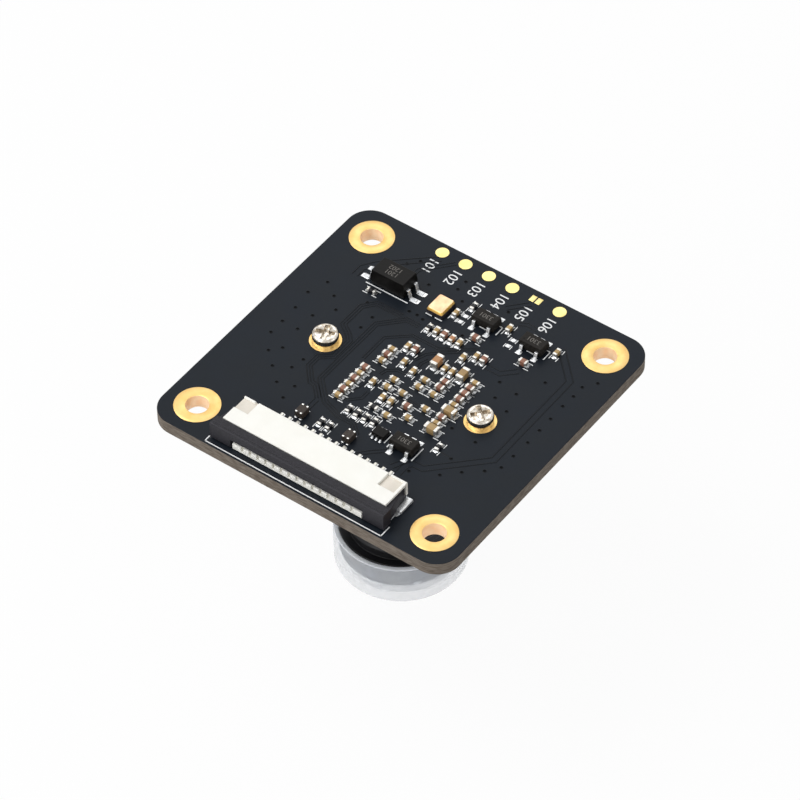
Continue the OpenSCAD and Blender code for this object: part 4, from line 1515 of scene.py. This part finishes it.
@dataclass
class Lens:
    """Screw-in lens with its threaded barrel. Lengths are in millimetres.

    Attributes:
        pitch: Pitch of the thread.
        thread_depth: Depth of the thread.
        foot_share: Half the width of the thread's ridge at its foot, as a share of the pitch.
        crest_share: Width of the ridge at its crest, as a share of that at its foot.
        root: How far the ridge's foot lies inside the barrel.
        bare_end: Length without a thread at the barrel's end.
        steps: Number of faces in one turn of the thread.
        thread_angle: Edges of the thread sharper than this angle in degrees stay sharp.
        edge: Rounding of the barrel's edges.
        angle: Edges of the barrel sharper than this angle in degrees are rounded.
        ring_edge: Rounding of the retaining ring's edges.
        glass_edge: Rounding of the rims of the glass elements.
        head_share: Share of the head's radius that only the head reaches.
        clear: Height over the head that its rounding stays under.
        slack: Height that counts as level with the head's top.
    """

    pitch: float = 0.8
    thread_depth: float = 0.2
    foot_share: float = 0.46
    crest_share: float = 0.2
    root: float = 0.02
    bare_end: float = 0.5
    steps: int = 48
    thread_angle: float = 30.0
    edge: float = 0.06
    angle: float = 50.0
    ring_edge: float = 0.04
    glass_edge: float = 0.03
    head_share: float = 0.98
    clear: float = 0.2
    slack: float = 0.01

    def build(self) -> None:
        """Builds the barrel with its thread, and dresses the glass and rings inside."""
        self.build_barrel()
        soften("retaining_ring", "lens_ring", Body.LENS, ANODISED, self.ring_edge)
        dress("spacer_sleeve", ANODISED)
        for node in ("front_element", "rear_element"):
            soften(node, node + "_glass", Body.LENS, LENS_GLASS, self.glass_edge)

    def build_barrel(self) -> None:
        """Builds the head and the barrel, with a wound thread in place of the straight ridges."""
        bm = merged_copy("lens_barrel")
        whole = node_box("lens_barrel")
        middle = whole.centre
        radius = {v: math.hypot(v.co.x - middle.x, v.co.y - middle.y) for v in bm.verts}
        head = whole.size.x / 2 * self.head_share
        head_top = max(v.co.z for v in bm.verts if radius[v] > head)
        crest = max(radius[v] for v in bm.verts if v.co.z > head_top + self.clear * MM)
        core = crest - self.thread_depth * MM
        for vert in bm.verts:
            if core < radius[vert] < crest + self.slack * MM and vert.co.z > head_top - self.slack * MM:
                vert.co.xy = middle.xy + (vert.co.xy - middle.xy) * (core / radius[vert])
        round_edges(bm, self.edge, self.angle)
        make_piece(bm, "lens_body", Body.LENS, [ANODISED], ["lens_barrel"])
        self.build_thread(Vector((*middle.xy, head_top)), core, crest, whole.high.z)

    def build_thread(self, base: Vector, core: float, crest: float, end: float) -> None:
        """Winds the thread's ridge round the barrel.

        Args:
            base: Where the barrel leaves the head, on its axis.
            core: Radius of the barrel under the thread, in metres.
            crest: Radius over the thread, in metres.
            end: Height of the barrel's end, in metres.
        """
        half, inside = self.pitch * self.foot_share * MM, core - self.root * MM
        start = base.z + 2 * half
        turns = math.floor((end - self.bare_end * MM - half - start) / (self.pitch * MM))
        bm = bmesh.new()
        section = [(inside, -half), (crest, -half * self.crest_share), (crest, half * self.crest_share),
                   (inside, half)]
        verts = [bm.verts.new((base.x + r, base.y, start + z)) for r, z in section]
        edges = [bm.edges.new(pair) for pair in zip(verts, verts[1:] + verts[:1])]
        bmesh.ops.spin(bm, geom=verts + edges, cent=base, axis=(0, 0, 1), angle=2 * math.pi * turns,
                       dvec=(0, 0, self.pitch * MM / self.steps), steps=self.steps * turns,
                       use_merge=False)
        bmesh.ops.holes_fill(bm, edges=[e for e in bm.edges if e.is_boundary], sides=0)
        bmesh.ops.recalc_face_normals(bm, faces=bm.faces)
        make_piece(bm, "lens_thread", Body.LENS, [ANODISED], smooth=self.thread_angle)


@dataclass
class Holder:
    """Lens holder with the image sensor under the board. Lengths are in millimetres.

    Attributes:
        edge: Rounding of the holder's edges.
        package_edge: Rounding of the sensor's edges.
        glass_edge: Rounding of the edges of the sensor's window and the filter.
    """

    edge: float = 0.12
    package_edge: float = 0.08
    glass_edge: float = 0.04

    def build(self) -> None:
        """Builds the holder, the sensor with its window and the filter."""
        soften("lens_holder", "holder_body", Body.MODULE, HOLDER, self.edge)
        soften("image_sensor", "sensor_package", Body.MODULE, PACKAGE, self.package_edge)
        soften("sensor_window", "sensor_glass", Body.MODULE, WINDOW, self.glass_edge)
        soften("filter_glass", "filter_plate", Body.MODULE, FILTER, self.glass_edge)


@dataclass
class Cap:
    """Soft translucent lens cap. Lengths are in millimetres.

    Attributes:
        edge: Rounding of the cap's edges.
    """

    edge: float = 0.12

    def build(self) -> None:
        """Builds the cap."""
        soften("lens_cap", "soft_cap", Body.CAP, CAP_PLASTIC, self.edge)


# ---- Studio ----


@dataclass
class Studio:
    """Camera, lights and a pale floor.

    Attributes:
        azimuth: Turn of the camera round the module, in degrees from its front.
        elevation: Height of the camera over the board, in degrees.
        roll: Turn of the picture, in degrees.
        distance: Distance from the middle of the board's top, in millimetres.
        lens: Focal length in millimetres.
        film: Width of the camera's sensor in millimetres.
        clip: Least and greatest distance that the camera sees, in metres.
        aim: How far the camera aims to the right of the board's middle and above it, in millimetres.
        floor_half: Half the side of the floor in millimetres.
        floor_drop: Room under the closed cap, for it to be pulled off into, in millimetres.
        floor_colour: Colour of the floor in linear light.
        floor_roughness: Roughness of the floor.
        background: Share of plain white in what the camera sees of the floor.
        sky: Strength of the light from all round.
        lamps: Name, place, side and power of each lamp, as add_light takes them.
    """

    azimuth: float = 37.04
    elevation: float = 46.75
    roll: float = -1.01
    distance: float = 453.5
    lens: float = 195.9
    film: float = 36.0
    clip: Point = (0.01, 20.0)
    aim: Point = (-0.228, -2.05)
    floor_half: float = 1500.0
    floor_drop: float = 5.5
    floor_colour: Colour = (0.86, 0.86, 0.865)
    floor_roughness: float = 0.9
    background: float = 0.94
    sky: float = 0.5
    lamps: tuple[tuple[str, tuple[float, float, float], float, float], ...] = (
        ("key_light", (-240, -140, 440), 320, 1.3), ("front_light", (-60, -440, 240), 260, 0.6),
        ("side_light", (430, 60, 240), 220, 0.15), ("rear_light", (-91, 138, 160), 80, 0.03),
    )

    def build(self) -> None:
        """Builds the camera, the floor, the world and the lights."""
        self.build_camera()
        self.build_floor()
        self.build_world()
        for lamp in self.lamps:
            self.add_light(*lamp)

    def build_camera(self) -> None:
        """Places the camera, aimed beside the middle of the board's top."""
        turn, rise, roll = (math.radians(a) for a in (self.azimuth, self.elevation, self.roll))
        back = Vector((math.sin(turn) * math.cos(rise), -math.cos(turn) * math.cos(rise), math.sin(rise)))
        right = Vector((math.cos(turn), math.sin(turn), 0))
        up = back.cross(right)
        tilted_right = right * math.cos(roll) + up * math.sin(roll)
        tilted_up = up * math.cos(roll) - right * math.sin(roll)
        shift = tilted_right * self.aim[0] + tilted_up * self.aim[1]
        place = board_middle() + (shift + back * self.distance) * MM
        data = bpy.data.cameras.new("camera")
        data.lens, data.sensor_width = self.lens, self.film
        data.clip_start, data.clip_end = self.clip
        camera = add_object("camera", data)
        axes = Matrix((tilted_right, tilted_up, back)).transposed().to_4x4()
        camera.matrix_world = Matrix.Translation(place) @ axes
        bpy.context.scene.camera = camera

    def seen_share(self, wiring: Wiring) -> NodeSocket:
        """Marks the rays that see the background, straight, mirrored or through glass.

        Args:
            wiring: The node tree to add to.

        Returns:
            An output that is 1 for such a ray and 0 for light that reaches the object.
        """
        path = wiring.node("LightPath").outputs
        seen = wiring.math("MAXIMUM", path["Is Camera Ray"], path["Is Glossy Ray"])
        return wiring.math("MAXIMUM", seen, path["Is Transmission Ray"])

    def build_floor(self) -> None:
        """Lays a pale floor that looks white and keeps the module's shadow."""
        material = bpy.data.materials.new("pale_floor")
        material.use_nodes = True
        nodes = material.node_tree.nodes
        wiring = Wiring(material.node_tree)
        shader = nodes["Principled BSDF"]
        shader.inputs["Base Color"].default_value = (*self.floor_colour, 1)
        shader.inputs["Roughness"].default_value = self.floor_roughness
        glow = wiring.node("Emission", None, Color="ffffff", Strength=1.0)
        share = wiring.math("MULTIPLY", self.seen_share(wiring), self.background)
        blend = wiring.node("MixShader", None, Fac=share)
        wiring.tree.links.new(shader.outputs[0], blend.inputs[1])
        wiring.tree.links.new(glow.outputs[0], blend.inputs[2])
        wiring.tree.links.new(blend.outputs[0], nodes["Material Output"].inputs["Surface"])
        bm = bmesh.new()
        bmesh.ops.create_grid(bm, x_segments=1, y_segments=1, size=self.floor_half * MM,
                              matrix=Matrix.Translation((0, 0, -self.floor_drop * MM)))
        mesh = bpy.data.meshes.new("floor")
        bm.to_mesh(mesh)
        bm.free()
        mesh.materials.append(material)
        add_object("floor", mesh)

    def build_world(self) -> None:
        """Lights the module evenly from all round, against white."""
        world = bpy.data.worlds.new("studio")
        bpy.context.scene.world = world
        world.use_nodes = True
        wiring = Wiring(world.node_tree)
        strength = wiring.spread(self.seen_share(wiring), 0.0, 1.0, self.sky, 1.0)
        sky = world.node_tree.nodes["Background"]
        sky.inputs["Color"].default_value = (1, 1, 1, 1)
        wiring.feed(sky.inputs["Strength"], strength)

    def add_light(self, name: str, place: Sequence[float], size: float, power: float) -> None:
        """Adds a soft square lamp that faces the board.

        Args:
            name: Name of the lamp.
            place: Where it stands, in millimetres from the middle of the board.
            size: Side of the lamp in millimetres.
            power: Power of the lamp in watts.
        """
        data = bpy.data.lights.new(name, "AREA")
        data.size, data.energy = size * MM, power
        lamp = add_object(name, data)
        lamp.location = node_box("board").centre + Vector(place) * MM
        lamp.rotation_euler = Vector(place).to_track_quat("Z", "Y").to_euler()


def main() -> None:
    """Builds the studio and each sub-assembly in order."""
    logging.basicConfig(level=logging.INFO, format="%(message)s")
    bpy.context.scene.view_settings.view_transform = "Standard"
    for assembly in (Studio(), Board(), Print(), SmallParts(), Chips(), Connector(), Screws(), Holder(),
                     Lens(), Cap()):
        LOG.info("-- %s", type(assembly).__name__)
        assembly.build()


if __name__ == "__main__":
    main()
